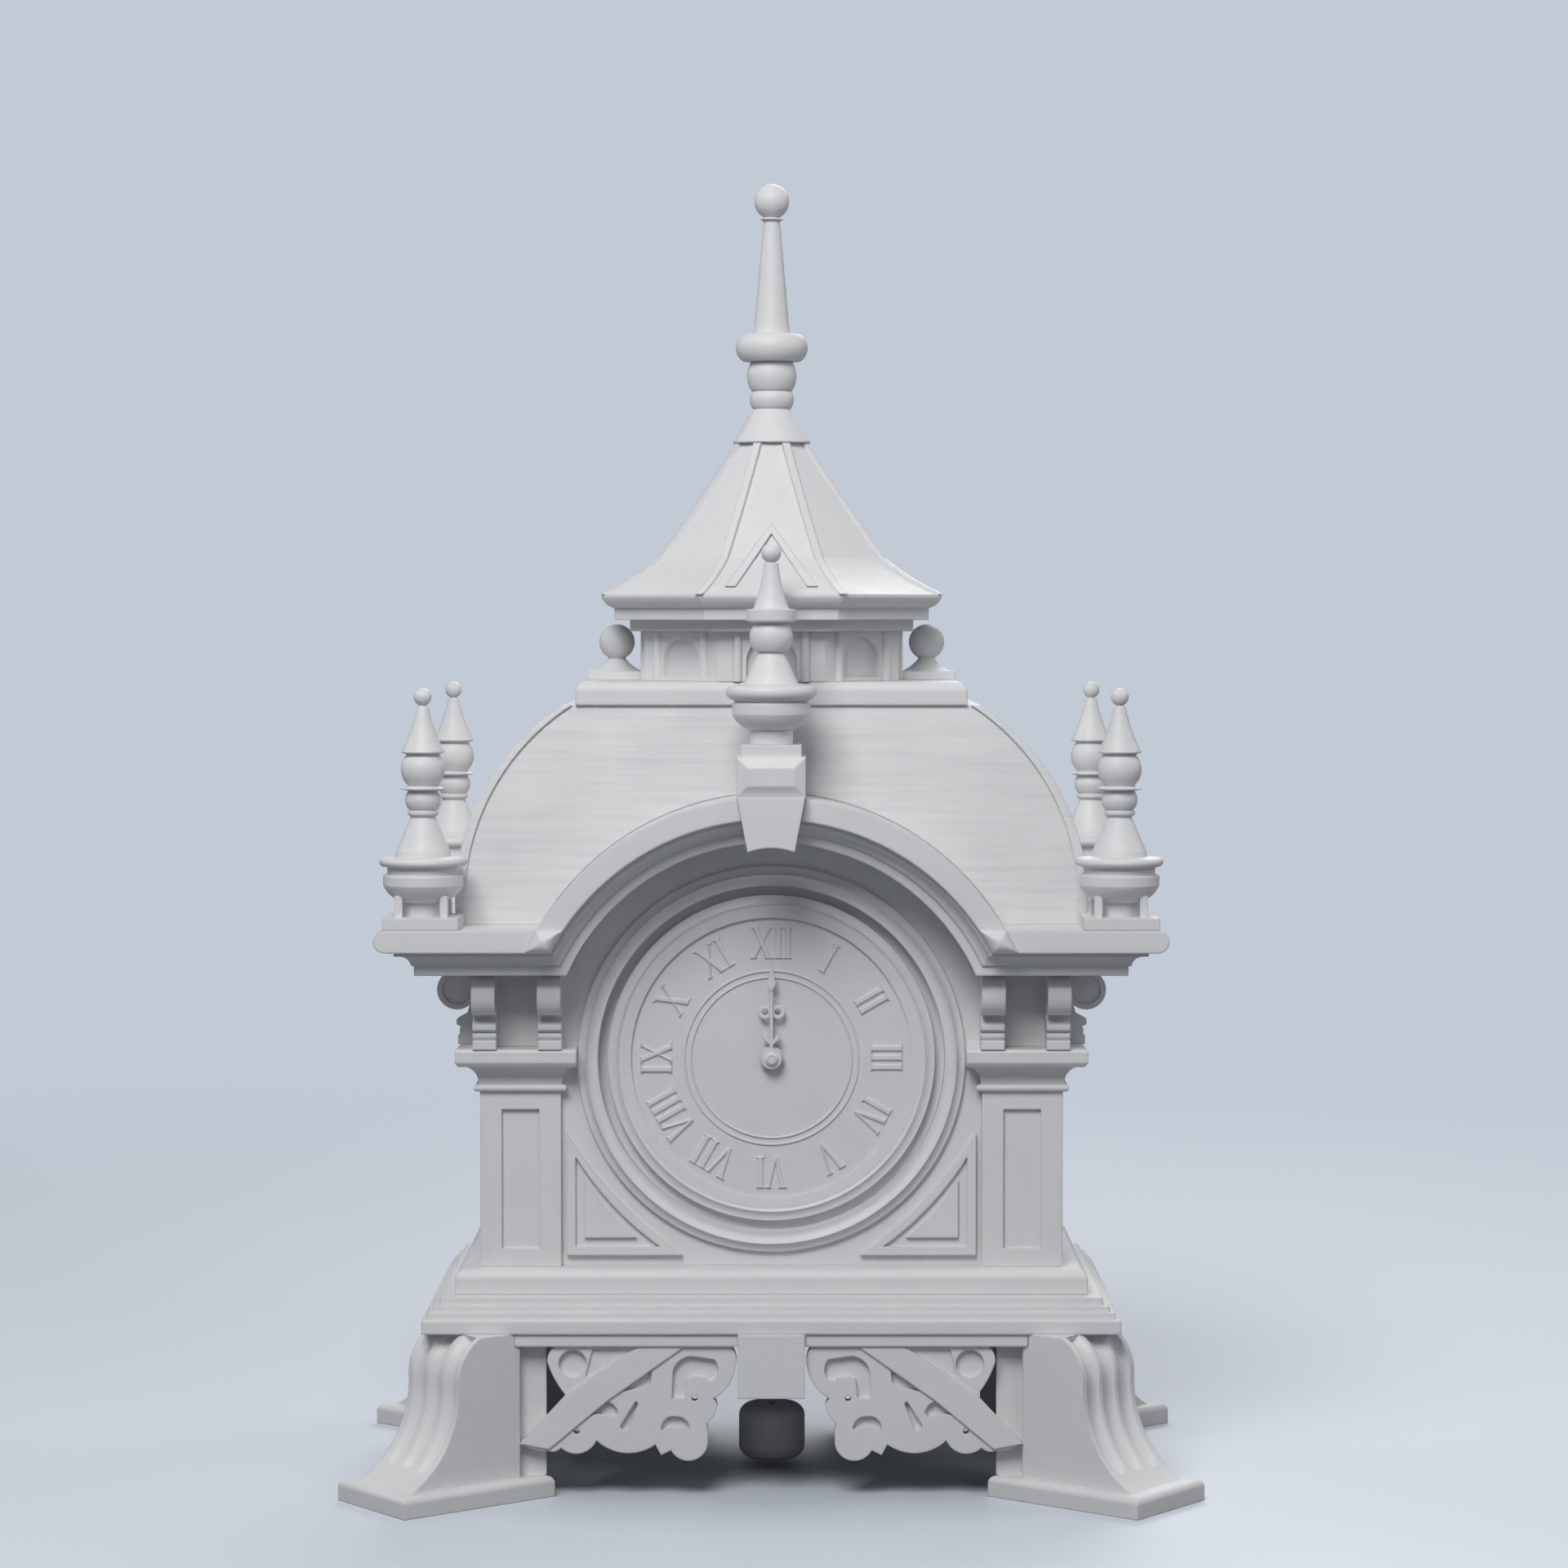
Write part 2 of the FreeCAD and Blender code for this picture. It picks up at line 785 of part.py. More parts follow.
def arc_by_bulge(here, there, bulge):
    """An arc in the XZ plane from its ends and its bulge."""
    right = (there - here).cross(FreeCAD.Vector(0, -1, 0))
    return Part.Arc(here, (here + there) / 2 + right * (bulge / 2), there).toShape()


LEG_LOWER_BULGE_SHARE = -0.288
LEG_UPPER_BULGE_SHARE = 0.296


def make_legs():
    """Four splayed scroll legs on their foot pads, one drawn and three mirrored."""
    body = Body("leg_scroll")
    half_length = S.foot_length / 2
    half_width = S.foot_width / 2
    body.pad("plan", [rectangle(-half_length, -half_width, half_length, half_width)], 0, S.foot_height)
    doc.recompute()
    top = [f"Face{i + 1}" for i, face in enumerate(body.item.Shape.Faces)
           if face.CenterOfMass.z > S.foot_height.value * 0.99]
    pad = body.item.Tip
    rounding = body.item.newObject("PartDesign::Fillet", "PadRound")
    rounding.Base = (pad, top)
    bind(rounding, "Radius", S.foot_round)
    body.item.Tip = rounding
    outline = [(S.leg_toe, S.foot_height, LEG_LOWER_BULGE_SHARE),
               (S.leg_waist, S.leg_waist_height, LEG_UPPER_BULGE_SHARE),
               (-S.leg_shoulder, S.leg_height),
               (-S.leg_inner, S.leg_height),
               (-S.leg_inner, S.foot_height)]
    body.pad("front", [outline], -S.leg_width / 2, S.leg_width / 2)
    flutes = doc.addObject("Part::Feature", "leg_flutes")
    flutes.Shape = leg_flutes()
    fluted = cut("leg_fluted", body.item, flutes)
    turn(fluted, (0, 0, 1), LEG_TURN)
    move(fluted, S.leg_offset_x, S.leg_offset_y, 0)
    y_strip = S.base_half_depth - S.fret_front_setback - S.fret_thick
    strip = box("leg_strip", S.leg_strip_inner, S.leg_strip_outer, y_strip - S.leg_strip_thick, y_strip,
                S.foot_height, S.leg_height)
    rear_right = node(fuse("leg_rear_right", [fluted, strip]), "leg_rear_right")
    rear_left = node(mirror("leg_rear_left", rear_right, (1, 0, 0)), "leg_rear_left")
    front_right = node(mirror("leg_front_right", rear_right, (0, 1, 0)), "leg_front_right")
    front_left = node(mirror("leg_front_left", rear_left, (0, 1, 0)), "leg_front_left")
    return [rear_right, rear_left, front_right, front_left]


# Fretwork: shares run from the outer end to the inner end, and from the rail down

FRET_OUTLINE_SHARES = [
    (0.168, 0.0, 0.30), (0.128, 0.129, 0.10), (0.213, 0.406, -0.04), (0.0, 0.80, 0.12), (0.130, 0.862, 0.30),
    (0.191, 0.835, 0.53), (0.353, 0.774, 0.365), (0.624, 0.808), (0.650, 0.895), (0.696, 0.856, 0.85),
    (0.865, 0.759, 0.10), (0.860, 0.637, 0.15), (0.909, 0.510, 0.30), (0.889, 0.432, 0.25),
    (0.993, 0.181, 0.25)]
FRET_TOP_SHARE = (0.972, 0.0)
FRET_BAR_SHARES = [(0.0, 0.80), (0.135, 0.845), (0.40, 0.452), (0.760, 0.0), (0.554, 0.0), (0.213, 0.395)]
FRET_TRIANGLE_SHARES = [(0.475, 0.375), (0.61, 0.185), (0.602, 0.305, -0.05)]
FRET_CRESCENT_SHARES = [(0.292, 0.585, -0.45), (0.392, 0.452, -0.35), (0.452, 0.545), (0.435, 0.585, 0.20)]
FRET_FINGER_SHARES = [(0.462, 0.655, 0.9), (0.505, 0.66), (0.545, 0.475, 0.9), (0.528, 0.468)]
FRET_LOBE_SHARES = [(0.652, 0.690, -0.55), (0.722, 0.580, -0.45), (0.782, 0.685, 0.22)]
FRET_ARCADE_SHARES = [(0.700, 0.430), (0.705, 0.215, -0.40), (0.800, 0.085), (0.895, 0.110, -0.35),
                      (0.900, 0.270), (0.868, 0.290, 0.40), (0.770, 0.275), (0.760, 0.425)]
FRET_RING_SHARE = (0.245, 0.145, 0.114)
FRET_WEB_SHARES = [(0.335, 0.03), (0.52, 0.03), (0.335, 0.245), (0.305, 0.245)]
FRET_HOLE_SHARES = [(0.262, 0.70, 0.024), (0.805, 0.43, 0.024)]


def fret_corners(shares, outer, inner, side=-1):
    """Place shares between the outer and the inner end of a fret, hanging from the rail."""
    corners = []
    for share in shares:
        along = outer - (outer - inner) * share[0]
        bulge = (-side * share[2],) if len(share) > 2 else ()
        corners.append((along * side, z_rail - S.fret_drop * share[1]) + bulge)
    return corners


def fret_circle(share, outer, inner, side=-1):
    """A round detail of a fret."""
    along = outer - (outer - inner) * share[0]
    return circle(along * side, z_rail - S.fret_drop * share[1], S.fret_drop * share[2])


def fret_details(body, plane, sides, outer, inner, face):
    """Sunk fields, the raised diagonal bar and the drilled eyes on the outward face of a fret."""
    for side in sides:
        deep = [fret_corners(shares, outer, inner, side) for shares in
                (FRET_TRIANGLE_SHARES, FRET_CRESCENT_SHARES, FRET_FINGER_SHARES, FRET_LOBE_SHARES,
                 FRET_ARCADE_SHARES)]
        for field in deep:
            body.pocket(plane, [field], face, face + S.fret_pocket_depth)
        body.pocket(plane, [fret_circle(FRET_RING_SHARE, outer, inner, side)], face, face + S.fret_pocket_depth)
        body.pocket(plane, [fret_corners(FRET_WEB_SHARES, outer, inner, side)], face, face + S.fret_web_depth)
        body.pocket(plane, [fret_circle(share, outer, inner, side) for share in FRET_HOLE_SHARES],
                    face, face + S.fret_thick)
        body.pad(plane, [fret_corners(FRET_BAR_SHARES, outer, inner, side)], face - S.fret_bar_proud, face)


def make_frets():
    """Front and rear frets beside the drop blocks, and one symmetrical fret on each side."""
    inner = S.block_half_width + S.fret_gap
    body = Body("fret")
    face = -S.base_half_depth + S.fret_front_setback
    body.pad("front", [fret_corners(FRET_OUTLINE_SHARES + [FRET_TOP_SHARE], S.fret_outer, inner)],
             face, face + S.fret_thick)
    fret_details(body, "front", [-1], S.fret_outer, inner, face)
    front_left = node(body.item, "fret_front_left")
    front_right = node(mirror("fret_front_right", front_left, (1, 0, 0)), "fret_front_right")
    node(mirror("fret_rear_left", front_left, (0, 1, 0)), "fret_rear_left")
    node(mirror("fret_rear_right", front_right, (0, 1, 0)), "fret_rear_right")
    side = Body("side_fret")
    face = -S.base_half_width + S.fret_front_setback
    middle = dim(0)
    half = fret_corners(FRET_OUTLINE_SHARES, S.side_fret_half_length, middle)
    half[-1] = half[-1][:2]
    other = []
    for index in range(len(half) - 1, -1, -1):
        bulge = half[index - 1][2:] if index else ()
        other.append((-half[index][0], half[index][1]) + tuple(bulge))
    side.pad("side", [flip(half + [(0, half[-1][1])] + other)], face, face + S.fret_thick)
    fret_details(side, "side", [-1, 1], S.side_fret_half_length, middle, face)
    node(group("frets_side", [side.item, mirror("side_fret_right", side.item, (1, 0, 0))]), "frets_side")


def make_rails(legs):
    """Drop blocks in the middle of front and rear, and thin rails between blocks and legs."""
    y_out = S.base_half_depth + S.block_proud
    blocks = []
    for facing in (-1, 1):
        body = Body("drop_block")
        y_low, y_high = (-y_out, -y_out + S.block_depth) if facing < 0 else (y_out - S.block_depth, y_out)
        body.pad("plan", [rectangle(-S.block_half_width, y_low, S.block_half_width, y_high)],
                 z_base - S.block_height, z_base)
        blocks.append(body.item)
    drop_blocks = node(group("drop_blocks", blocks), "drop_blocks")
    rails = []
    y_rail = S.base_half_depth - S.rail_setback
    x_rail = S.base_half_width - S.rail_setback
    for facing in (-1, 1):
        y0, y1 = (-y_rail, -y_rail + S.rail_width) if facing < 0 else (y_rail - S.rail_width, y_rail)
        rails.append(box("rail", -S.rail_half_length, S.rail_half_length, y0, y1, z_rail, z_base))
        x0, x1 = (-x_rail, -x_rail + S.rail_width) if facing < 0 else (x_rail - S.rail_width, x_rail)
        rails.append(box("side_rail", x0, x1, -S.side_rail_half_length, S.side_rail_half_length, z_rail, z_base))
    node(cut("apron_rails", group("rails", rails), group("rail_stops", legs + [drop_blocks])), "apron_rails")


# Base and plinth

BASE_PROFILE_SHARES = [(0.0, 0.0), (0.0, 0.36, 0.41), (-0.10, 0.42), (-0.31, 0.42), (-0.31, 0.60), (-0.62, 0.62),
                       (-0.62, 0.77), (-1.0, 0.79), (-1.0, 1.0)]


def make_base():
    """Stepped base moulding and the plinth board, both slotted for the pendulum rod."""
    slot = box("rod_slot", -S.slot_half_width, S.slot_half_width, y_pendulum - S.slot_half_depth,
               y_pendulum + S.slot_half_depth, z_base - S.overrun, z_case + S.overrun)
    moulding = mitred("base_steps", scaled(BASE_PROFILE_SHARES, S.base_step, S.base_height, z_base),
                      S.base_half_width, S.base_half_depth)
    node(cut("base_moulding", moulding, slot), "base_moulding")
    profile = [(0, z_plinth), (0, z_case - S.plinth_round, QUARTER_TURN_SHARE), (-S.plinth_round, z_case)]
    board = mitred("plinth_board", profile, S.plinth_half_width, S.plinth_half_depth)
    node(cut("plinth", board, slot), "plinth")


# Walls

def wall_outline(half_low, half_high):
    """A wall that widens above the capitals."""
    return [(-half_low, z_case), (half_low, z_case), (half_low, z_frieze), (half_high, z_frieze),
            (half_high, z_cornice), (-half_high, z_cornice), (-half_high, z_frieze), (-half_low, z_frieze)]


def spandrel(side, border):
    """A right triangle beside the dial with a hollow long side, drawn in by a border."""
    x_out = (x_pilaster - S.spandrel_gap) - border
    z_low = z_case + S.spandrel_rise + border
    x_in = S.spandrel_inner + border * SPANDREL_POINT_SHARE
    z_high = z_case + S.spandrel_top - border * SPANDREL_POINT_SHARE
    corners = [(-x_out, z_low), (-x_in, z_low, -SPANDREL_CURVE_SHARE), (-x_out, z_high)]
    return corners if side < 0 else flip(corners)


SPANDREL_POINT_SHARE = 2.6
SPANDREL_CURVE_SHARE = 0.10
DIAL_RING_SHARES = [(0.0, 0.0), (0.45, 0.0, -0.3), (1.0, 0.42, -0.4), (0.55, 1.0), (0.0, 1.0)]


def make_front_wall():
    """Front wall with its round top, dial opening, ring moulding and two spandrel mouldings."""
    body = Body("front_wall")
    rise = z_cornice - z_dial
    radius = arch_radius - S.arch_clearance
    x_arch = root(radius * radius - rise * rise)
    outline = wall_outline(x_pilaster, x_frieze)
    outline[5:5] = [(x_arch, z_cornice, (radius - rise) / x_arch), (-x_arch, z_cornice)]
    body.pad("front", [outline], -wall_face, -wall_back)
    body.pocket("front", [circle(0, z_dial, S.dial_opening)], -wall_face, -wall_back)
    band = S.dial_ring_outer - S.dial_opening
    ring = [(-wall_face - S.dial_ring_proud * c[0], S.dial_ring_outer - band * c[1]) + tuple(c[2:])
            for c in DIAL_RING_SHARES]
    body.revolve([ring], upright=False, up=z_dial)
    for side in (-1, 1):
        body.pad("front", [spandrel(side, dim(0))], -wall_face - S.spandrel_proud, -wall_face)
        body.pocket("front", [spandrel(side, S.spandrel_border)], -wall_face - S.spandrel_proud,
                    -wall_face - S.spandrel_proud + S.spandrel_sunk)
        body.pad("front", [spandrel(side, S.spandrel_border * 2)], -wall_face - S.spandrel_proud,
                 -wall_face - S.spandrel_proud + S.spandrel_sunk)
    node(body.item, "front_wall")


def make_side_walls():
    """Plain side walls between the pilasters."""
    inner = x_wall - S.wall_thick
    y_low = wall_face + S.pilaster_proud - S.pilaster_depth
    for name, x0, x1 in (("left", -x_wall, -inner), ("right", inner, x_wall)):
        body = Body("side_wall_" + name)
        body.pad("side", [wall_outline(y_low, wall_back)], x0, x1)
        node(body.item, "side_wall_" + name)


def hinge_levels():
    """Lower ends of the two hinges."""
    return [z_case + S.hinge_low, z_case + S.hinge_high]


y_hinge = wall_face + S.hinge_axis_y


def make_rear_wall():
    """Rear wall with the door opening and the outer knuckles of two hinges."""
    body = Body("rear_wall")
    body.pad("front", [wall_outline(x_pilaster, x_frieze)], wall_back, wall_face)
    sill = z_case + S.door_opening_sill
    opening = rectangle(-S.door_opening_half, sill, S.door_opening_half, sill + S.door_opening_height)
    body.pocket("front", [opening], wall_back, wall_face)
    for level in hinge_levels():
        for knuckle in (0, 2):
            start = level + (S.hinge_knuckle + S.hinge_gap) * knuckle
            leaf = rectangle(S.hinge_axis_x, wall_face, S.hinge_axis_x + S.hinge_leaf_length,
                             wall_face + S.hinge_leaf_thick)
            body.pad("plan", [leaf], start, start + S.hinge_knuckle)
            body.pad("plan", [circle(S.hinge_axis_x, y_hinge, S.hinge_radius)], start, start + S.hinge_knuckle)
        hole = circle(S.hinge_axis_x, y_hinge, S.hinge_pin + S.running_clearance)
        body.pocket("plan", [hole], level, level + S.hinge_knuckle * 3 + S.hinge_gap * 2)
    node(body.item, "rear_wall")


def make_door():
    """Rear door over the opening, with a sunk field and the middle knuckles of its hinges."""
    sill = z_case + S.door_opening_sill
    y0 = wall_face + S.door_gap
    y1 = y0 + S.door_thick
    half = S.door_opening_half + S.door_overlap
    z0 = sill - S.door_overlap
    z1 = sill + S.door_opening_height + S.door_overlap
    body = Body("back_door")
    body.pad("front", [rectangle(-half, z0, half, z1)], y0, y1)
    margin = S.door_panel_margin
    body.pocket("front", [rectangle(margin - half, z0 + margin, half - margin, z1 - margin)],
                y1 - S.door_panel_depth, y1)
    body.pocket("front", [circle(-S.latch_x, z_latch, S.latch_shaft + S.running_clearance)], y0, y1)
    for level in hinge_levels():
        start = level + S.hinge_knuckle + S.hinge_gap
        leaf = rectangle(half, y_hinge - S.hinge_leaf_thick / 2, S.hinge_axis_x, y_hinge + S.hinge_leaf_thick / 2)
        body.pad("plan", [leaf], start, start + S.hinge_knuckle)
        body.pad("plan", [circle(S.hinge_axis_x, y_hinge, S.hinge_radius)], start, start + S.hinge_knuckle)
        body.pocket("plan", [circle(S.hinge_axis_x, y_hinge, S.hinge_pin + S.running_clearance)],
                    start, start + S.hinge_knuckle)
    node(body.item, "back_door")
    pins = []
    for level in hinge_levels():
        pin = Body("hinge_pin")
        height = S.hinge_knuckle * 3 + S.hinge_gap * 2
        pin.pad("plan", [circle(0, 0, S.hinge_pin)], 0, height)
        pin.pad("plan", [circle(0, 0, S.hinge_pin_head)], height, height + S.hinge_pin)
        pins.append(move(pin.item, S.hinge_axis_x, y_hinge, level))
    node(group("door_hinge_pins", pins), "door_hinge_pins")
    latch = Body("door_latch")
    y_bar = wall_back - S.latch_bar_gap
    y_knob = y1 + S.end_shake
    latch.pad("front", [circle(0, 0, S.latch_shaft)], y_bar - S.latch_bar_thick, y_knob)
    latch.pad("front", [rectangle(-S.latch_bar_half, -S.latch_bar_half, S.latch_bar_half, S.latch_bar_length)],
              y_bar - S.latch_bar_thick, y_bar)
    knob = [(y_knob + S.latch_knob_height * c[0], S.latch_knob * c[1]) + tuple(c[2:]) for c in KNOB_SHARES]
    latch.revolve([knob], upright=False)
    move(latch.item, -S.latch_x, 0, z_latch)
    node(latch.item, "door_latch")


KNOB_SHARES = [(0.0, 0.0), (1.0, 0.0), (1.0, 0.55, 0.3), (0.72, 1.0), (0.45, 1.0, 0.2), (0.2, 0.5), (0.0, 0.5)]
z_latch = z_case + S.door_opening_sill + S.door_opening_height / 2


# Pilasters and brackets

CAPITAL_SHARES = [(0.0, 0.0), (0.11, 0.0, 0.9), (0.11, 0.165), (0.06, 0.165), (0.06, 0.20, -0.33), (0.62, 0.60),
                  (0.86, 0.60), (1.0, 0.70), (1.0, 0.90, 0.41), (0.90, 1.0)]


def make_pilasters():
    """Corner pilasters with sunk panels and moulded capitals that wrap round the walls."""
    x0 = x_pilaster
    x1 = x0 + S.pilaster_width
    y1 = wall_face + S.pilaster_proud
    y0 = y1 - S.pilaster_depth
    body = Body("pilaster_shaft")
    body.pad("plan", [rectangle(x0, y0, x1, y1)], z_case, z_capital)
    middle_x = (x0 + x1) / 2
    middle_y = (y0 + y1) / 2
    half = S.pilaster_panel_width / 2
    z0 = z_case + S.pilaster_panel_margin
    z1 = z_capital - S.pilaster_panel_margin
    half_side = half * (S.pilaster_depth.value / S.pilaster_width.value)
    body.pocket("front", [rectangle(middle_x - half, z0, middle_x + half, z1)], y1 - S.pilaster_panel_depth, y1)
    body.pocket("side", [rectangle(middle_y - half_side, z0, middle_y + half_side, z1)],
                x1 - S.pilaster_panel_depth, x1)
    capital = mitred("capital", scaled(CAPITAL_SHARES, S.capital_projection, S.capital_height, z_capital),
                     S.pilaster_width / 2, S.pilaster_depth / 2)
    move(capital, middle_x, middle_y, 0)
    front_room = box("front_room", -x_pilaster, x_pilaster, -wall_face, wall_face,
                     z_capital - S.overrun, z_frieze + S.overrun)
    side_room = box("side_room", -x_wall, x_wall, -y0, y0,
                    z_capital - S.overrun, z_frieze + S.overrun)
    ring_room = prism("ring_room", "front", [circle(0, z_dial, S.dial_ring_outer + S.arch_clearance)],
                      wall_face, wall_face + S.overrun)
    trimmed = cut("capital_trimmed", capital, fuse("wall_room", [front_room, side_room, ring_room]))
    rear_right = node(fuse("pilaster_rear_right", [body.item, trimmed]), "pilaster_rear_right")
    rear_left = node(mirror("pilaster_rear_left", rear_right, (1, 0, 0)), "pilaster_rear_left")
    node(mirror("pilaster_front_right", rear_right, (0, 1, 0)), "pilaster_front_right")
    node(mirror("pilaster_front_left", rear_left, (0, 1, 0)), "pilaster_front_left")


BRACKET_SHARES = [(0.0, 0.0), (0.605, 0.0), (0.605, 0.112), (0.53, 0.122), (0.576, 0.156), (0.576, 0.205),
                  (0.537, 0.224), (0.634, 0.258), (0.634, 0.322), (0.44, 0.39), (0.39, 0.508, 1.41),
                  (0.624, 0.973), (0.49, 1.0), (0.0, 1.0)]
BRACKET_EYE_SHARE = (0.624, 0.712)


def make_brackets():
    """Twelve scroll brackets between the frieze and the cornice: four in front and rear, two on each side."""
    body = Body("scroll_bracket")
    outline = scaled(BRACKET_SHARES, S.bracket_reach, S.frieze_height)
    half = S.bracket_width / 2
    body.pad("side", [outline], -half, half)
    eye = circle(S.bracket_reach * BRACKET_EYE_SHARE[0], S.frieze_height * BRACKET_EYE_SHARE[1], S.bracket_eye)
    body.pocket("side", [eye], half - S.bracket_eye_depth, half)
    body.pocket("side", [eye], -half, -half + S.bracket_eye_depth)
    places = []
    for x in (x_pilaster + S.pilaster_width - S.bracket_outer_set, x_pilaster + S.bracket_inner_set):
        for side in (-1, 1):
            places.append((x * side, wall_face, z_frieze, 0))
            places.append((x * side, -wall_face, z_frieze, 180))
    for y in (-S.bracket_side_place, S.bracket_side_place):
        places.append((x_wall, y, z_frieze, -90))
        places.append((-x_wall, y, z_frieze, 90))
    node(copies("scroll_brackets", body.item, places), "scroll_brackets")


# Cornice with its arch, keystone and dome

CORNICE_SHARES = [(0.0, 0.0), (0.0, 0.20), (0.07, 0.215, -0.35), (0.34, 0.43), (0.47, 0.44), (0.47, 0.50),
                  (0.70, 0.52, 0.95), (0.70, 1.0)]


def keystone_outline():
    """A wedge with a hollow lower edge."""
    z_low = z_dial + arch_radius - S.keystone_drop
    z_high = z_low + S.keystone_height
    curve = S.keystone_curve / S.keystone_bottom_half
    return [(-S.keystone_bottom_half, z_low, -curve), (S.keystone_bottom_half, z_low),
            (S.keystone_top_half, z_high), (-S.keystone_top_half, z_high)]


z_block = z_dial + arch_radius - S.keystone_drop + S.keystone_height
y_nose = S.cornice_half_depth + S.cornice_projection


def make_cornice():
    """Mitred cornice whose front rises over the dial as an arch of the same profile."""
    profile = scaled(CORNICE_SHARES, S.cornice_projection, S.cornice_height)
    outer = arch_radius + S.cornice_height
    z_top = z_dial + outer + S.overrun
    nose = profile[-1][0]
    tall = [(c[0], z_cornice + c[1]) + tuple(c[2:]) for c in profile] + [(nose, z_top)]
    moulding = mitred("cornice_moulding", tall, S.cornice_half_width, S.cornice_half_depth)
    x_reach = S.cornice_half_width + S.cornice_projection
    level = box("cornice_level", -x_reach, x_reach, -y_nose, y_nose, z_cornice, z_dome)
    rise = z_dome - z_dial
    half = root(outer * outer - rise * rise)
    crown = [(-half, z_cornice), (half, z_cornice), (half, z_dome, (outer - rise) / half), (-half, z_dome)]
    arch = prism("cornice_arch", "front", [crown], -y_nose, -wall_back)
    whole = common("cornice_solid", [moulding, fuse("cornice_envelope", [level, arch])])
    tunnel = Body("arch_tunnel")
    front = -y_nose - S.overrun
    section = [(front, 0), (-wall_back, 0), (-wall_back, arch_radius)]
    for corner in profile:
        bulge = (-dim(corner[2]),) if len(corner) > 2 else ()
        section.append((-S.cornice_half_depth - corner[0], arch_radius + corner[1]) + bulge)
    reach = x_reach + outer
    tunnel.revolve([section + [(-S.cornice_half_depth - nose, reach), (front, reach)]], upright=False, up=z_dial)
    inside = box("cornice_inside", -S.cornice_opening_width, S.cornice_opening_width, -wall_back,
                 S.cornice_opening_depth, z_cornice - S.overrun, z_dome + S.overrun)
    y_key = -y_nose - S.keystone_proud
    notch = prism("keystone_notch", "front", [keystone_outline()], y_key, y_key + S.keystone_depth)
    seat = box("block_seat", -S.block_top_half, S.block_top_half, y_key, y_key + S.keystone_depth,
               z_block, z_block + S.overrun)
    node(cut("cornice", whole, fuse("cornice_voids", [tunnel.item, inside, notch, seat])), "cornice")
    key = Body("keystone")
    key.pad("front", [keystone_outline()], y_key, y_key + S.keystone_depth)
    node(key.item, "keystone")
    block = Body("keystone_block")
    half = S.block_top_half
    y0 = y_key + S.block_facet
    y1 = y_key + S.keystone_depth
    z_top = z_block + S.block_top_height
    block.pad("plan", [rectangle(-half, y0, half, y1)], z_block, z_top)
    block.pad_back("front", [rectangle(-half, z_block, half, z_top)], y_key, y0, -BLOCK_TAPER)
    inset = S.block_cap_inset
    block.pad("plan", [rectangle(-half + inset, y0 + inset, half - inset, y1 - inset)],
              z_top, z_top + S.block_cap_height)
    node(block.item, "keystone_block")


BLOCK_TAPER = 62
DOME_CURVE_SHARE = 0.284
DOME_SIDE_CURVE_SHARE = 0.06


def dome_profile(half, top_half, height, curve):
    """Half outline of the dome from the cornice up."""
    return [(half, z_dome, curve), (top_half, z_dome + height)]


def make_dome():
    """Hollow dome curved mostly to the sides, with a raised rim, open over the arch."""
    reach_y = S.dome_half_depth + S.overrun
    reach_x = S.dome_half_width + S.overrun
    wall = S.dome_wall
    rim = S.dome_rim_width
    proud = S.dome_rim_proud

    def wide(name, inset, lower=0):
        profile = dome_profile(S.dome_half_width - inset, S.dome_top_half_width - inset,
                               S.dome_height - lower, DOME_CURVE_SHARE)
        return prism(name, "front", [mirrored(profile)], -reach_y, reach_y)

    def deep(name, inset, lower=0):
        profile = dome_profile(S.dome_half_depth - inset, S.dome_top_half_depth - inset,
                               S.dome_height - lower, DOME_SIDE_CURVE_SHARE)
        return prism(name, "side", [mirrored(profile)], -reach_x, reach_x)

    shell = common("dome_solid", [wide("dome_wide", dim(0)), deep("dome_deep", dim(0))])
    band = common("dome_band", [cut("dome_rim", wide("rim_wide", dim(0)), wide("rim_inner", rim)),
                                deep("rim_deep", -proud)])
    outer = fuse("dome_outer", [shell, band])
    inner = common("dome_inner", [wide("hollow_wide", wall, wall), deep("hollow_deep", wall, wall)])
    arch = doc.addObject("Part::Cylinder", "dome_arch")
    bind(arch, "Radius", arch_radius + S.cornice_height + S.arch_clearance)
    bind(arch, "Height", S.overrun + y_nose)
    turn(arch, (1, 0, 0), 90)
    move(arch, 0, -wall_back, z_dial)
    node(cut("dome", outer, fuse("dome_voids", [inner, arch])), "dome")


# Platform, belfry and roof

def make_platform():
    """Flat platform with a rounded upper edge."""
    profile = [(0, z_platform), (0, z_belfry - S.platform_round, QUARTER_TURN_SHARE), (-S.platform_round, z_belfry)]
    node(mitred("roof_platform", profile, S.platform_half_width, S.platform_half_depth), "roof_platform")


def octagon(apothem):
    """Corners of a regular octagon with one side towards the front."""
    short = apothem * OCTAGON_SHARE
    return [(apothem, -short), (apothem, short), (short, apothem), (-short, apothem), (-apothem, short),
            (-apothem, -short), (-short, -apothem), (short, -apothem)]


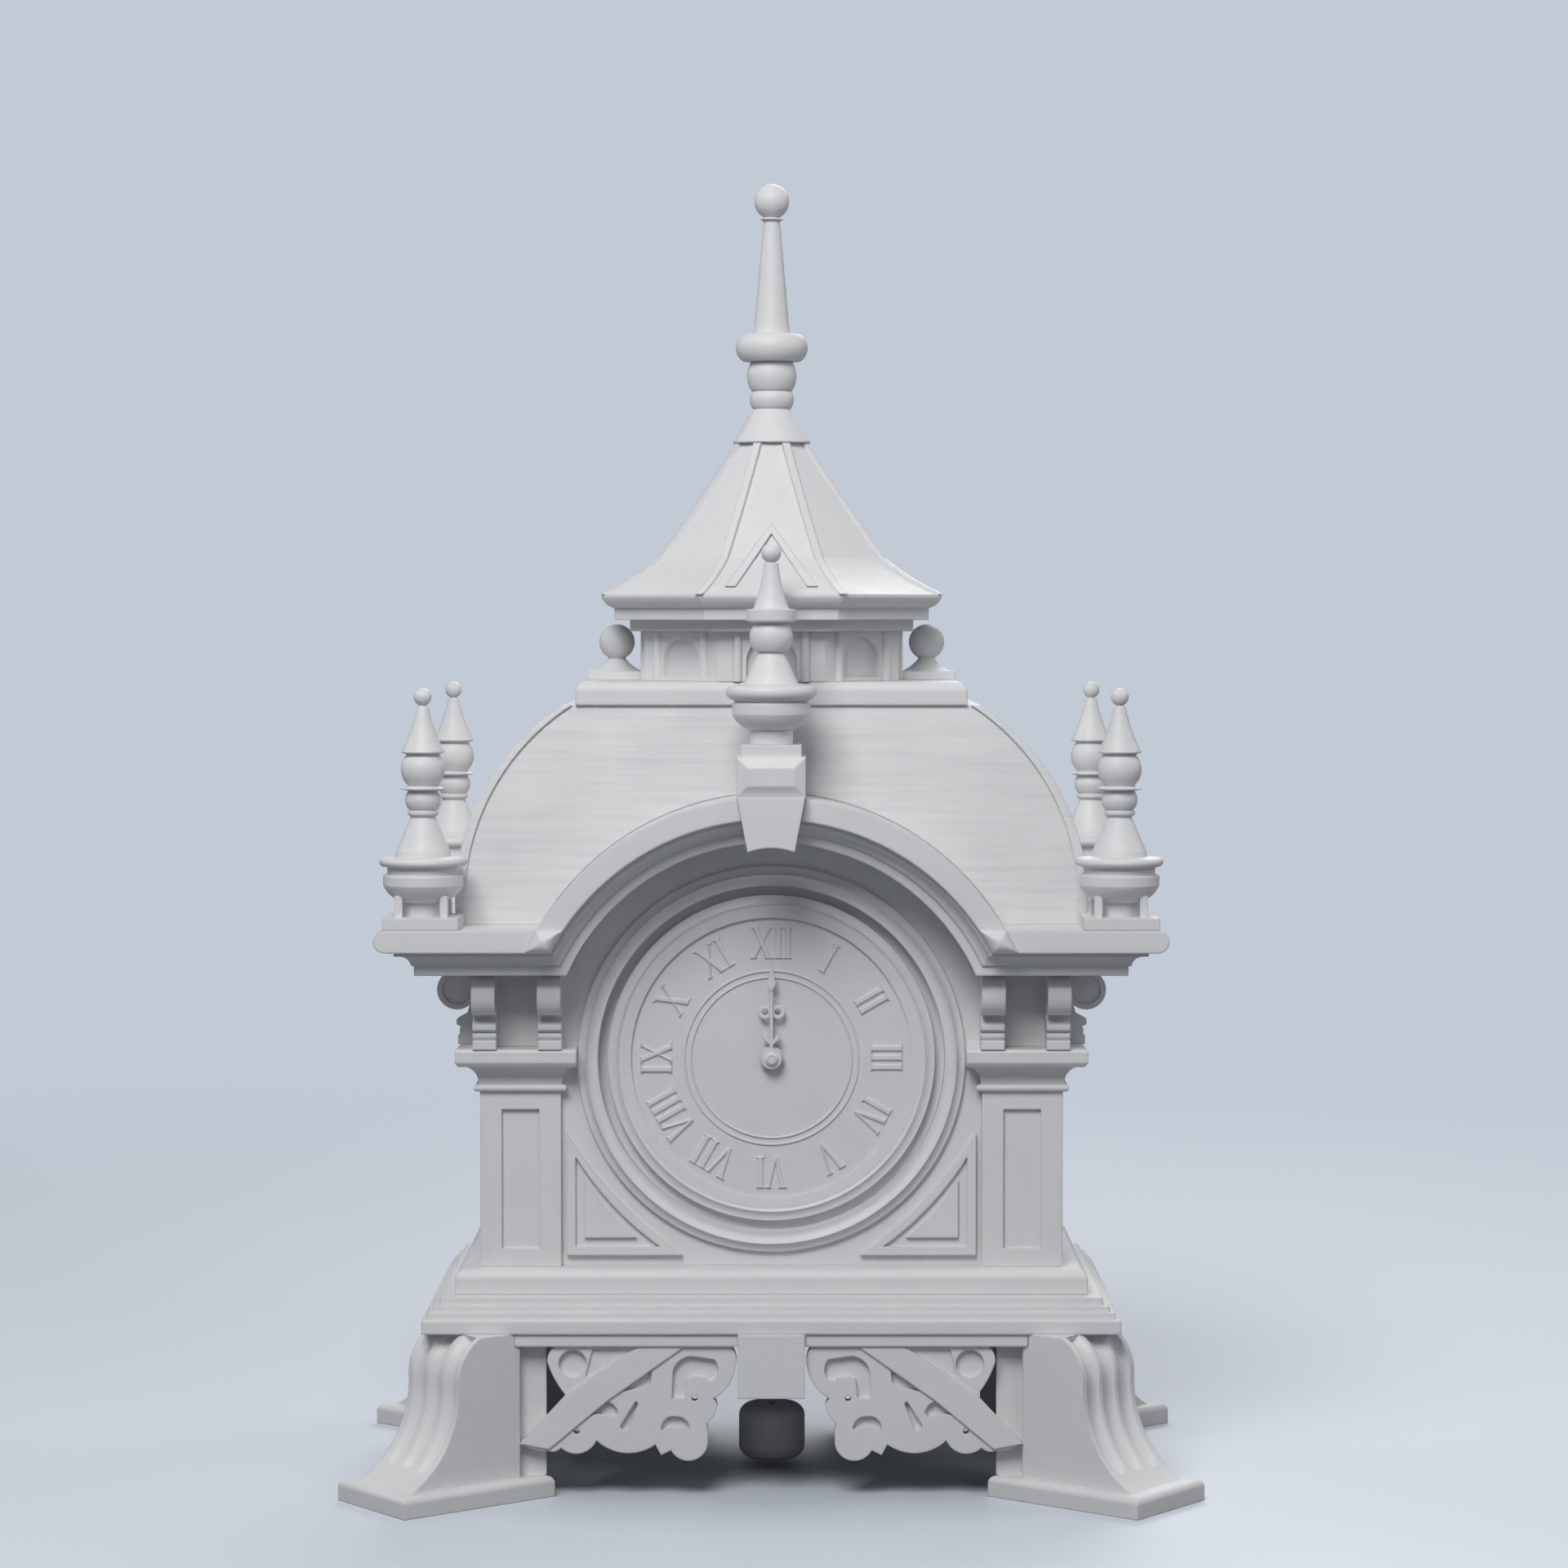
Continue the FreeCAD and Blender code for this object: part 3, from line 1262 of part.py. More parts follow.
def make_belfry():
    """Eight-sided belfry with an arched recess between half columns on every side."""
    body = Body("belfry")
    body.pad("plan", [octagon(S.belfry_apothem)], z_belfry, z_eave)
    sill = z_belfry + S.belfry_arch_sill
    half = S.belfry_arch_half
    recess = [(-half, sill), (half, sill), (half, z_belfry + S.belfry_arch_spring, HALF_TURN_SHARE),
              (-half, z_belfry + S.belfry_arch_spring)]
    opening = body.pocket("front", [recess], -S.belfry_apothem, -S.belfry_apothem + S.belfry_arch_depth)
    columns = body.pad("plan", [circle(-S.belfry_column_place, -S.belfry_apothem, S.belfry_column_radius),
                                circle(S.belfry_column_place, -S.belfry_apothem, S.belfry_column_radius)],
                       z_belfry, z_eave)
    doc.recompute()
    pattern = body.item.newObject("PartDesign::PolarPattern", "Sides")
    pattern.Originals = [opening, columns]
    z_axis = [f for f in body.item.Origin.OriginFeatures if f.Role == "Z_Axis"][0]
    pattern.Axis = (z_axis, [""])
    pattern.Angle = 360
    pattern.Occurrences = 8
    body.item.Tip = pattern
    node(body.item, "belfry")


ROOF_LOWER_CURVE_SHARE = -0.07
ROOF_UPPER_CURVE_SHARE = -0.02
EAVE_CURVE_SHARE = 0.25


def roof_slope(proud):
    """The roof's slopes above the eave, moved out by a small amount."""
    return [(S.eave_edge + proud, z_roof, ROOF_LOWER_CURVE_SHARE),
            (S.roof_kink + proud, z_roof + S.roof_kink_height, ROOF_UPPER_CURVE_SHARE),
            (S.roof_top + proud, z_spire)]


def make_roof():
    """Eight-sided bell-cast roof on a stepped eave, with hip ribs and a chevron on the front slope."""
    z_step = z_eave + S.eave_step_height
    z_fascia = z_step + S.eave_fascia_height
    profile = [(S.eave_step, z_eave), (S.eave_step, z_step), (S.eave_fascia, z_step),
               (S.eave_fascia, z_fascia, EAVE_CURVE_SHARE), (S.eave_edge, z_roof - S.eave_lip)]
    pieces = [octagonal("roof_slopes", profile + roof_slope(dim(0)))]
    corner = 1 / math.cos(math.pi / 8)
    rib_profile = [(c[0] * corner,) + tuple(c[1:]) for c in roof_slope(S.rib_proud / corner)]
    for degrees in HIP_DIRECTIONS:
        rib = prism("hip_rib", "front", [mirrored(rib_profile)], -S.rib_width / 2, S.rib_width / 2)
        pieces.append(turn(rib, (0, 0, 1), degrees))
    z_foot = z_eave + S.gablet_foot
    z_apex = z_eave + S.gablet_apex
    band = S.gablet_band
    half = S.gablet_half_width
    chevron = [(-half - band / 2, z_foot), (-half + band / 2, z_foot), (0, z_apex - band),
               (half - band / 2, z_foot), (half + band / 2, z_foot), (0, z_apex)]
    front = prism("chevron", "front", [chevron], -S.eave_edge - S.overrun, 0)
    raised = prism("raised_slope", "side", [mirrored(roof_slope(S.gablet_proud))], -S.eave_edge, S.eave_edge)
    pieces.append(common("gablet", [front, raised]))
    node(fuse("roof", pieces), "roof")


# Turned finials: shares of the largest radius and of the height, from the bottom up

SPIRE_SHARES = [(1.0, 0.0), (0.99, 0.008), (0.475, 0.133), (0.50, 0.136, 0.32), (0.50, 0.202), (0.53, 0.204, 0.30),
                (0.53, 0.315), (0.74, 0.317, 0.55), (0.74, 0.42), (0.467, 0.424), (0.21, 0.857), (0.30, 0.862),
                (0.20, 0.872)]
FRONT_FINIAL_SHARES = [(0.466, 0.0), (0.466, 0.073, 0.25), (0.835, 0.15), (0.835, 0.205), (0.76, 0.212),
                       (0.88, 0.227, 0.65), (0.88, 0.292), (0.585, 0.30), (0.273, 0.458), (0.36, 0.466, 0.36),
                       (0.36, 0.60), (0.534, 0.612), (0.534, 0.67), (0.38, 0.675, -0.06), (0.153, 0.90),
                       (0.09, 0.905)]
CORNER_FINIAL_SHARES = [(0.426, 0.0, 0.25), (0.893, 0.08), (0.893, 0.125), (0.80, 0.134), (0.80, 0.165),
                        (0.92, 0.17, 0.65), (0.92, 0.208), (0.62, 0.215), (0.60, 0.24), (0.272, 0.40),
                        (0.343, 0.41), (0.343, 0.425), (0.30, 0.43, 0.40), (0.33, 0.52), (0.509, 0.53),
                        (0.33, 0.545, 0.42), (0.36, 0.69), (0.485, 0.70), (0.44, 0.72, -0.06), (0.13, 0.912),
                        (0.08, 0.92)]
BALL_FINIAL_SHARES = [(1.0, 0.0, -0.12), (0.354, 0.257), (0.354, 0.30), (0.40, 0.302)]


def turned(body, shares, radius, height, bottom=0):
    """Turn a finial's profile; from the last corner a ball centred on the axis closes the tip."""
    corners = scaled(shares, radius, height, bottom)
    foot = corners[-1][0]
    rise = bottom + height - corners[-1][1]
    corners[-1] += (rise / (foot + root(foot * foot + rise * rise)),)
    body.revolve([[(0, bottom)] + corners + [(0, bottom + height)]])


def make_finials():
    """Spire, front finial, four corner finials and two ball finials."""
    spire = Body("spire")
    turned(spire, SPIRE_SHARES, S.spire_radius, S.spire_height)
    node(move(spire.item, 0, 0, z_spire), "spire")
    front = Body("front_finial")
    turned(front, FRONT_FINIAL_SHARES, S.front_finial_radius, S.front_finial_height)
    move(front.item, 0, -S.front_finial_y, z_block + S.block_top_height + S.block_cap_height)
    node(front.item, "front_finial")
    corner = Body("corner_finial")
    half = S.corner_pad_half
    corner.pad("plan", [rectangle(-half, -half, half, half)], 0, S.corner_pad_height)
    z_urn = S.corner_pad_height + S.corner_column_height
    corner.pad("plan", [circle(0, 0, S.corner_column)], S.corner_pad_height, z_urn)
    place = S.corner_post_place
    post = S.corner_post / 2
    for x, y in ((-1, -1), (1, -1), (1, 1), (-1, 1)):
        square = rectangle(place * x - post, place * y - post, place * x + post, place * y + post)
        corner.pad("plan", [square], S.corner_pad_height, z_urn + S.corner_post)
    turned(corner, CORNER_FINIAL_SHARES, S.corner_finial_radius, S.corner_finial_height, z_urn)
    places = []
    for x in (-S.corner_finial_x, S.corner_finial_x):
        for y in (-S.corner_finial_y, S.corner_finial_y):
            places.append((x, y, z_dome, 0))
    node(copies("corner_finials", corner.item, places), "corner_finials")
    ball = Body("ball_finial")
    half = S.ball_plate_half
    ball.pad("plan", [rectangle(-half, -half, half, half)], 0, S.ball_plate_height)
    turned(ball, BALL_FINIAL_SHARES, S.ball_finial_radius, S.ball_finial_height, S.ball_plate_height)
    places = [(-S.ball_finial_x, 0, z_belfry, 0), (S.ball_finial_x, 0, z_belfry, 0)]
    node(copies("ball_finials", ball.item, places), "ball_finials")


# Dial and hands

BEZEL_SHARES = [(0.0, 0.0), (0.55, 0.0, -0.25), (1.0, 0.40, -0.3), (0.70, 0.60), (0.55, 1.0), (0.0, 1.0)]
HAND_SHARES = [(0.25, 0.10), (0.25, 0.155), (0.75, 0.205), (0.25, 0.26), (0.25, 0.30), (0.23, 0.46),
               (1.0, 0.50, 0.8), (0.95, 0.60), (0.45, 0.64), (0.16, 0.70)]


HAND_NUT_SHARES = [(1.0, 0.0), (1.0, 0.5, -0.2), (0.7, 1.0)]


def make_dial():
    """Dial plate with a raised face and four feet, and the bezel on it."""
    dial = Body("dial_plate")
    y_face = y_dial - S.dial_face_thick
    outline = [(y_dial_back, S.dial_hole), (y_dial_back, S.dial_plate_radius), (y_dial, S.dial_plate_radius),
               (y_dial, S.dial_face_radius), (y_face, S.dial_face_radius), (y_face, S.dial_hole)]
    dial.revolve([outline], upright=False)
    feet = [circle(S.dial_foot_x * x, S.dial_foot_z * z, S.dial_foot_radius) for x in (-1, 1) for z in (-1, 1)]
    dial.pad("front", feet, y_dial_back, y_front_plate)
    node(move(dial.item, 0, 0, z_dial), "dial_plate")
    bezel = Body("bezel")
    band = S.dial_face_radius - S.bezel_inner
    ring = [(y_face - S.bezel_proud * c[0], S.dial_face_radius - band * c[1]) + tuple(c[2:]) for c in BEZEL_SHARES]
    bezel.revolve([ring], upright=False)
    node(move(bezel.item, 0, 0, z_dial), "bezel")


def make_hand(label, length, bore, y_back):
    """One pierced-looking hand: a round hub, a diamond, a trefoil and a long point."""
    hand = Body(label)
    y_front = y_back - S.hand_thick
    hand.pad("front", [circle(0, 0, S.hand_hub)], y_front, y_back)
    blade = mirrored(scaled(HAND_SHARES, S.hand_half_width, length) + [(HAND_TIP_SHARE * S.hand_half_width, length)])
    hand.pad("front", [blade], y_front, y_back)
    hand.pocket("front", [circle(0, 0, bore)], y_front, y_back)
    node(move(hand.item, 0, 0, z_dial), label)


HAND_TIP_SHARE = 0.08
y_hour_end = y_front_plate - S.hour_tube_end
y_cannon_end = y_front_plate - S.cannon_end


def make_hands():
    """Hour hand on its tube, minute hand on the cannon pinion, and the nut that holds it."""
    fit = S.running_clearance
    make_hand("hour_hand", S.hour_hand_length, S.cannon_radius + fit, y_hour_end)
    make_hand("minute_hand", S.minute_hand_length, S.centre_front_radius + fit, y_cannon_end)
    nut = Body("hand_nut")
    y_back = y_cannon_end - S.hand_thick
    bore = S.centre_front_radius + fit
    profile = [(y_back, bore)]
    profile += [(y_back - S.nut_height * height_share, S.nut_radius * radius_share) + tuple(bulge)
                for radius_share, height_share, *bulge in HAND_NUT_SHARES]
    profile += [(y_back - S.nut_height, bore)]
    nut.revolve([profile], upright=False)
    node(move(nut.item, 0, 0, z_dial), "hand_nut")


# Movement: places of the arbors

great_pitch = S.great_module * (GREAT_TEETH / 2)
centre_pinion_pitch = S.great_module * (CENTRE_LEAVES / 2)
centre_pitch = S.centre_module * (CENTRE_TEETH / 2)
third_pinion_pitch = S.centre_module * (THIRD_LEAVES / 2)
third_pitch = S.third_module * (THIRD_TEETH / 2)
escape_pinion_pitch = S.third_module * (ESCAPE_LEAVES / 2)
cannon_pitch = S.cannon_module * (CANNON_LEAVES / 2)
motion_pitch = S.cannon_module * (MOTION_TEETH / 2)
motion_distance = cannon_pitch + motion_pitch
hour_module = motion_distance * (2 / (MOTION_LEAVES + HOUR_TEETH))
motion_pinion_pitch = hour_module * (MOTION_LEAVES / 2)
hour_pitch = hour_module * (HOUR_TEETH / 2)


def polar(distance, degrees):
    """Steps to the right and up for a distance in a direction."""
    return distance * math.cos(math.radians(degrees)), distance * math.sin(math.radians(degrees))


third_x, third_rise = polar(centre_pitch + third_pinion_pitch, THIRD_DIRECTION)
third_z = z_dial + third_rise
escape_distance = third_pitch + escape_pinion_pitch
escape_z = third_z + root(escape_distance * escape_distance - third_x * third_x)
barrel_x, barrel_rise = polar(great_pitch + centre_pinion_pitch, BARREL_DIRECTION)
barrel_z = z_dial + barrel_rise
motion_x, motion_rise = polar(motion_distance, MOTION_DIRECTION)
motion_z = z_dial + motion_rise
anchor_z = escape_z + S.anchor_rise
click_dx, click_dz = polar(S.click_place, CLICK_DIRECTION)
y_bridge = y_rear + S.cock_rise
y_pendulum = y_bridge + S.cock_bridge + S.end_shake / 2 + S.rod_eye_thick / 2


# Gears

def toothed_face(teeth, corners, phase):
    """A flat gear in the XZ plane from the corners (radius, turn in pitches) of one tooth."""
    points = []
    pitch = 2 * math.pi / teeth
    for tooth in range(teeth):
        for radius, share in corners:
            angle = math.radians(phase) + (tooth + share) * pitch
            points.append(FreeCAD.Vector(radius * math.cos(angle), 0, radius * math.sin(angle)))
    return Part.Face(Part.makePolygon(points + points[:1]))


def tooth_corners(pitch_radius, module, leaf):
    """One tooth of a wheel or one leaf of a pinion, centred on its own direction."""
    addendum, dedendum, foot, tip = (
        (LEAF_ADDENDUM_SHARE, LEAF_DEDENDUM_SHARE, LEAF_ROOT_SHARE, LEAF_TIP_SHARE) if leaf else
        (WHEEL_ADDENDUM_SHARE, WHEEL_DEDENDUM_SHARE, WHEEL_ROOT_SHARE, WHEEL_TIP_SHARE))
    low = pitch_radius.value - module.value * dedendum
    high = pitch_radius.value + module.value * addendum
    return [(low, -foot), (high, -tip), (high, tip), (low, foot)]


def spoke_windows(hub, rim):
    """Openings between the spokes of a wheel."""
    half = S.spoke_half.value
    windows = []
    for index in range(SPOKES):
        start = index * 2 * math.pi / SPOKES
        end = start + 2 * math.pi / SPOKES
        inner = (start + math.asin(half / hub), end - math.asin(half / hub))
        outer = (start + math.asin(half / rim), end - math.asin(half / rim))

        def at(radius, angle):
            return FreeCAD.Vector(radius * math.cos(angle), 0, radius * math.sin(angle))

        edges = [Part.LineSegment(at(hub, inner[0]), at(rim, outer[0])).toShape(),
                 Part.Arc(at(rim, outer[0]), at(rim, (start + end) / 2), at(rim, outer[1])).toShape(),
                 Part.LineSegment(at(rim, outer[1]), at(hub, inner[1])).toShape(),
                 Part.Arc(at(hub, inner[1]), at(hub, (start + end) / 2), at(hub, inner[0])).toShape()]
        windows.append(Part.Face(Part.Wire(edges)))
    return windows


def gear(name, teeth, pitch_radius, module, y_start, y_end, phase=0, leaf=False, spoked=False, bore=None):
    """A wheel or pinion about the origin, between two levels from front to back."""
    corners = tooth_corners(pitch_radius, module, leaf)
    face = toothed_face(teeth, corners, phase)
    if spoked:
        rim = corners[0][0] - S.wheel_rim.value
        face = face.cut(Part.makeCompound(spoke_windows(S.wheel_hub.value, rim)))
    return flat_piece(name, face, y_start, y_end, bore)


def flat_piece(name, face, y_start, y_end, bore=None):
    """A flat face given a thickness, with a round bore."""
    thick = FreeCAD.Vector(0, (dim(y_end) - y_start).value, 0)
    shape = face.extrude(thick)
    if bore is not None:
        hole = Part.makeCylinder(bore.value, thick.y, FreeCAD.Vector(), FreeCAD.Vector(0, 1, 0))
        shape = shape.cut(hole)
    item = doc.addObject("Part::Feature", name)
    item.Shape = shape
    move(item, 0, y_start, 0)
    return item


def arbor(name, steps):
    """A shaft from front to back: levels with the radius that runs up to the next level."""
    body = Body(name)
    outline = [(steps[0][0], 0)]
    for (level, radius), (following, _) in zip(steps, steps[1:]):
        outline += [(level, radius), (following, radius)]
    outline.append((steps[-1][0], 0))
    body.revolve([outline], upright=False)
    return body.item


def train_steps():
    """Levels of a train arbor: a pivot in each plate and the thicker arbor between them."""
    return [(y_front_plate + S.end_shake, S.pivot_radius), (y_train + S.end_shake, S.arbor_radius),
            (y_back_plate - S.end_shake, S.pivot_radius), (y_rear - S.end_shake, S.pivot_radius)]


def mesh_phase(teeth, direction):
    """Turn of a gear that puts a gap, not a tooth, in a direction."""
    return direction + 180 / teeth


def make_train():
    """Centre arbor, third wheel and escape wheel."""
    y_great = y_train + S.great_layer
    y_centre = y_train + S.centre_layer
    y_third = y_train + S.third_layer
    y_escape = y_train + S.escape_layer
    thick = S.wheel_thick
    spare = (S.pinion_length - thick) / 2
    steps = [(y_cannon_end - S.hand_thick - S.nut_height, S.centre_front_radius),
             (y_train + S.end_shake, S.centre_arbor_radius)] + train_steps()[2:]
    centre = fuse("centre_arbor", [
        arbor("centre_shaft", steps),
        gear("centre_pinion", CENTRE_LEAVES, centre_pinion_pitch, S.great_module, y_great - spare,
             y_great + thick + spare, mesh_phase(CENTRE_LEAVES, BARREL_DIRECTION), leaf=True),
        gear("centre_wheel", CENTRE_TEETH, centre_pitch, S.centre_module, y_centre, y_centre + thick,
             THIRD_DIRECTION, spoked=True)])
    node(move(centre, 0, 0, z_dial), "centre_arbor")
    rise = escape_z.value - third_z.value
    escape_direction = math.degrees(math.atan2(rise, -third_x.value))
    third = fuse("third_wheel", [
        arbor("third_shaft", train_steps()),
        gear("third_pinion", THIRD_LEAVES, third_pinion_pitch, S.centre_module, y_centre - spare,
             y_centre + thick + spare, mesh_phase(THIRD_LEAVES, THIRD_DIRECTION + 180), leaf=True),
        gear("third_teeth", THIRD_TEETH, third_pitch, S.third_module, y_third, y_third + thick,
             escape_direction, spoked=True)])
    node(move(third, third_x, 0, third_z), "third_wheel")
    tip = S.escape_tip.value
    foot = tip - S.escape_tooth.value
    teeth = toothed_face(ESCAPE_TEETH, [(foot, 0.0), (tip, 0.62), (tip, 0.70), (foot, 0.78)], 0)
    windows = spoke_windows(S.wheel_hub.value, foot - S.wheel_rim.value)
    teeth = teeth.cut(Part.makeCompound(windows))
    escape = fuse("escape_wheel", [
        arbor("escape_shaft", train_steps()),
        gear("escape_pinion", ESCAPE_LEAVES, escape_pinion_pitch, S.third_module, y_third - spare,
             y_third + thick + spare, mesh_phase(ESCAPE_LEAVES, escape_direction + 180), leaf=True),
        flat_piece("escape_teeth", teeth, y_escape, y_escape + thick)])
    node(move(escape, 0, 0, escape_z), "escape_wheel")


RATCHET_TIP_SHARE = 0.9
RATCHET_FOOT_SHARE = 0.98
CLICK_SHOULDER_SHARE = 0.85


def make_barrel():
    """Going barrel with the great wheel, its spring, the winding arbor with the ratchet, and the click."""
    y_great = y_train + S.great_layer
    thick = S.wheel_thick
    bore = S.winding_radius + S.running_clearance
    wheel = gear("great_wheel", GREAT_TEETH, great_pitch, S.great_module, y_great, y_great + thick,
                 BARREL_DIRECTION + 180, bore=bore)
    drum = Body("barrel_drum")
    y_open = y_great - S.barrel_depth
    drum.revolve([[(y_open, S.barrel_radius - S.barrel_wall), (y_great, S.barrel_radius - S.barrel_wall),
                   (y_great, S.barrel_radius), (y_open, S.barrel_radius)]], upright=False)
    node(move(fuse("barrel", [wheel, drum.item]), barrel_x, 0, barrel_z), "barrel")
    y0 = y_open + S.spring_inset
    y1 = y_great - S.spring_inset
    spring = flat_piece("mainspring", spring_face(), y0, y1)
    node(move(spring, barrel_x, y0, barrel_z), "mainspring")
    y_square = y_rear + S.ratchet_gap + S.winding_length - S.winding_square_length
    half = S.winding_square / 2
    steps = [(y_front_plate + S.end_shake, S.winding_pivot), (y_train + S.end_shake, S.winding_radius),
             (y_open + S.spring_inset / 2, S.barrel_hub), (y_great - S.spring_inset / 2, S.winding_radius),
             (y_square, 0)]
    shaft = arbor("winding_shaft", steps)
    square = Body("winding_end")
    square.pad("front", [rectangle(-half, -half, half, half)], y_square, y_square + S.winding_square_length)
    tip = S.ratchet_tip.value
    foot = tip - S.ratchet_tooth.value
    teeth = toothed_face(RATCHET_TEETH, [(foot, 0.0), (tip, RATCHET_TIP_SHARE), (foot, RATCHET_FOOT_SHARE)], 0)
    y_ratchet = y_rear + S.ratchet_gap
    ratchet = flat_piece("ratchet", teeth, y_ratchet, y_ratchet + S.ratchet_thick)
    winding = fuse("winding_arbor", [shaft, square.item, ratchet])
    node(move(winding, barrel_x, 0, barrel_z), "winding_arbor")
    click = Body("click")
    reach = S.click_place - S.ratchet_tip - S.click_gap
    half_lever = S.click_width / 2
    shoulder = reach * CLICK_SHOULDER_SHARE
    lever = [(0, -half_lever), (shoulder, -half_lever), (reach, 0), (shoulder, half_lever), (0, half_lever)]
    click.pad("front", [circle(0, 0, S.click_hub)], y_ratchet, y_ratchet + S.ratchet_thick)
    click.pad("front", [lever], y_ratchet, y_ratchet + S.ratchet_thick)
    click.pocket("front", [circle(0, 0, S.click_stud + S.running_clearance)], y_ratchet,
                 y_ratchet + S.ratchet_thick)
    turn(click.item, (0, 1, 0), 180 - CLICK_DIRECTION)
    move(click.item, barrel_x + click_dx, 0, barrel_z + click_dz)
    node(click.item, "click")


def spring_face():
    """A flat spiral made of half turns, each on a centre moved by half a pitch."""
    inner = S.barrel_hub.value + S.spring_gap.value
    outer = S.barrel_radius.value - S.barrel_wall.value - S.spring_gap.value - S.spring_thick.value
    step = (outer - inner) / (2 * SPRING_TURNS)
    edges = []
    ends = []
    for offset in (0, S.spring_thick.value):
        x = inner + offset
        side = 1
        start = FreeCAD.Vector(x, 0, 0)
        ends.append(start)
        for index in range(2 * SPRING_TURNS):
            radius = inner + offset + step * (index + 0.5)
            centre = FreeCAD.Vector(start.x - side * radius, 0, 0)
            end = FreeCAD.Vector(centre.x - side * radius, 0, 0)
            middle = FreeCAD.Vector(centre.x, 0, side * radius)
            edges.append(Part.Arc(start, middle, end).toShape())
            start = end
            side = -side
        ends.append(start)
    edges.append(Part.LineSegment(ends[0], ends[2]).toShape())
    edges.append(Part.LineSegment(ends[1], ends[3]).toShape())
    return Part.Face(Part.Wire(Part.__sortEdges__(edges)))


def make_motion_work():
    """Cannon pinion, motion wheel and hour wheel between the front plate and the dial."""
    fit = S.running_clearance
    y_leaf = y_front_plate - S.motion_start
    cannon = Body("cannon_tube")
    cannon.pad("front", [circle(0, 0, S.cannon_radius)], y_cannon_end, y_leaf)
    leaves = gear("cannon_leaves", CANNON_LEAVES, cannon_pitch, S.cannon_module, y_leaf - S.cannon_leaf_length,
                  y_leaf, mesh_phase(CANNON_LEAVES, MOTION_DIRECTION), leaf=True)
    bore = arbor("cannon_bore", [(y_cannon_end - fit, S.centre_front_radius + fit), (y_leaf + fit, 0)])
    pinion = cut("cannon_pinion", fuse("cannon_whole", [cannon.item, leaves]), bore)
    node(move(pinion, 0, 0, z_dial), "cannon_pinion")
    y_wheel = y_leaf - fit
    y_hour = y_front_plate - S.hour_wheel_start
    stud = S.motion_stud + fit
    wheel = fuse("motion_wheel", [
        gear("motion_teeth", MOTION_TEETH, motion_pitch, S.cannon_module, y_wheel - S.wheel_thick, y_wheel,
             MOTION_DIRECTION + 180, bore=stud),
        gear("motion_leaves", MOTION_LEAVES, motion_pinion_pitch, hour_module, y_hour - S.wheel_thick - fit,
             y_wheel - S.wheel_thick, mesh_phase(MOTION_LEAVES, MOTION_DIRECTION + 180), leaf=True, bore=stud)])
    node(move(wheel, motion_x, 0, motion_z), "motion_wheel")
    tube_bore = S.cannon_radius + fit
    tube = Body("hour_tube")
    tube.revolve([[(y_hour_end, tube_bore), (y_hour, tube_bore), (y_hour, S.hour_tube_radius),
                   (y_hour_end, S.hour_tube_radius)]], upright=False)
    hour = fuse("hour_wheel", [
        gear("hour_teeth", HOUR_TEETH, hour_pitch, hour_module, y_hour - S.wheel_thick, y_hour,
             MOTION_DIRECTION, bore=tube_bore), tube.item])
    node(move(hour, 0, 0, z_dial), "hour_wheel")


PILLAR_SHARES = [(0.0, 1.0), (0.12, 1.0), (0.22, 0.7), (0.78, 0.7), (0.88, 1.0), (1.0, 1.0)]


def make_plates():
    """Front and back plate with their pivot holes, and the pillars between them."""
    fit = S.running_clearance
    pivot = S.pivot_radius + fit
    corner = S.plate_round
    left = -S.plate_left
    right = S.plate_right
    low = z_dial - S.plate_below
    high = z_dial + S.plate_above
    bend = QUARTER_TURN_SHARE
    outline = [(left + corner, low), (right - corner, low, bend), (right, low + corner),
               (right, high - corner, bend), (right - corner, high), (left + corner, high, bend),
               (left, high - corner), (left, low + corner, bend)]
    train_holes = [circle(third_x, third_z, pivot), circle(0, escape_z, pivot)]
    front = Body("front_plate")
    front.pad("front", [outline], y_front_plate, y_train)
    front.pocket("front", train_holes + [circle(0, anchor_z, pivot), circle(0, z_dial, S.centre_front_radius + fit),
                                         circle(barrel_x, barrel_z, S.winding_pivot + fit)],
                 y_front_plate, y_train)
    front.pad("front", [circle(motion_x, motion_z, S.motion_stud)], y_front_plate - S.motion_stud_length,
              y_front_plate)
    node(front.item, "front_plate")
    back = Body("back_plate")
    back.pad("front", [outline], y_back_plate, y_rear)
    back.pocket("front", train_holes + [circle(0, anchor_z, S.arbor_radius + S.end_shake),
                                        circle(0, z_dial, pivot),
                                        circle(barrel_x, barrel_z, S.winding_radius + fit)],
                y_back_plate, y_rear)
    back.pad("front", [circle(barrel_x + click_dx, barrel_z + click_dz, S.click_stud)], y_rear,
             y_rear + S.ratchet_gap + S.ratchet_thick + S.ratchet_gap)
    node(back.item, "back_plate")
    pillar = Body("pillar")
    length = S.plate_gap
    radius = S.pillar_radius
    profile = [(length * length_share, radius * radius_share) for length_share, radius_share in PILLAR_SHARES]
    pillar.revolve([[(0, 0)] + profile + [(length, 0)]], upright=False)
    places = [(-S.pillar_left, y_train, z_dial - S.pillar_low, 0), (S.pillar_right, y_train, z_dial - S.pillar_low, 0),
              (-S.pillar_high_left, y_train, z_dial + S.pillar_high, 0),
              (S.pillar_right, y_train, z_dial + S.pillar_high, 0)]
    node(copies("pillars", pillar.item, places), "pillars")


COCK_PIVOT_SHARE = 0.6
COCK_HOLE_SHARE = 0.7


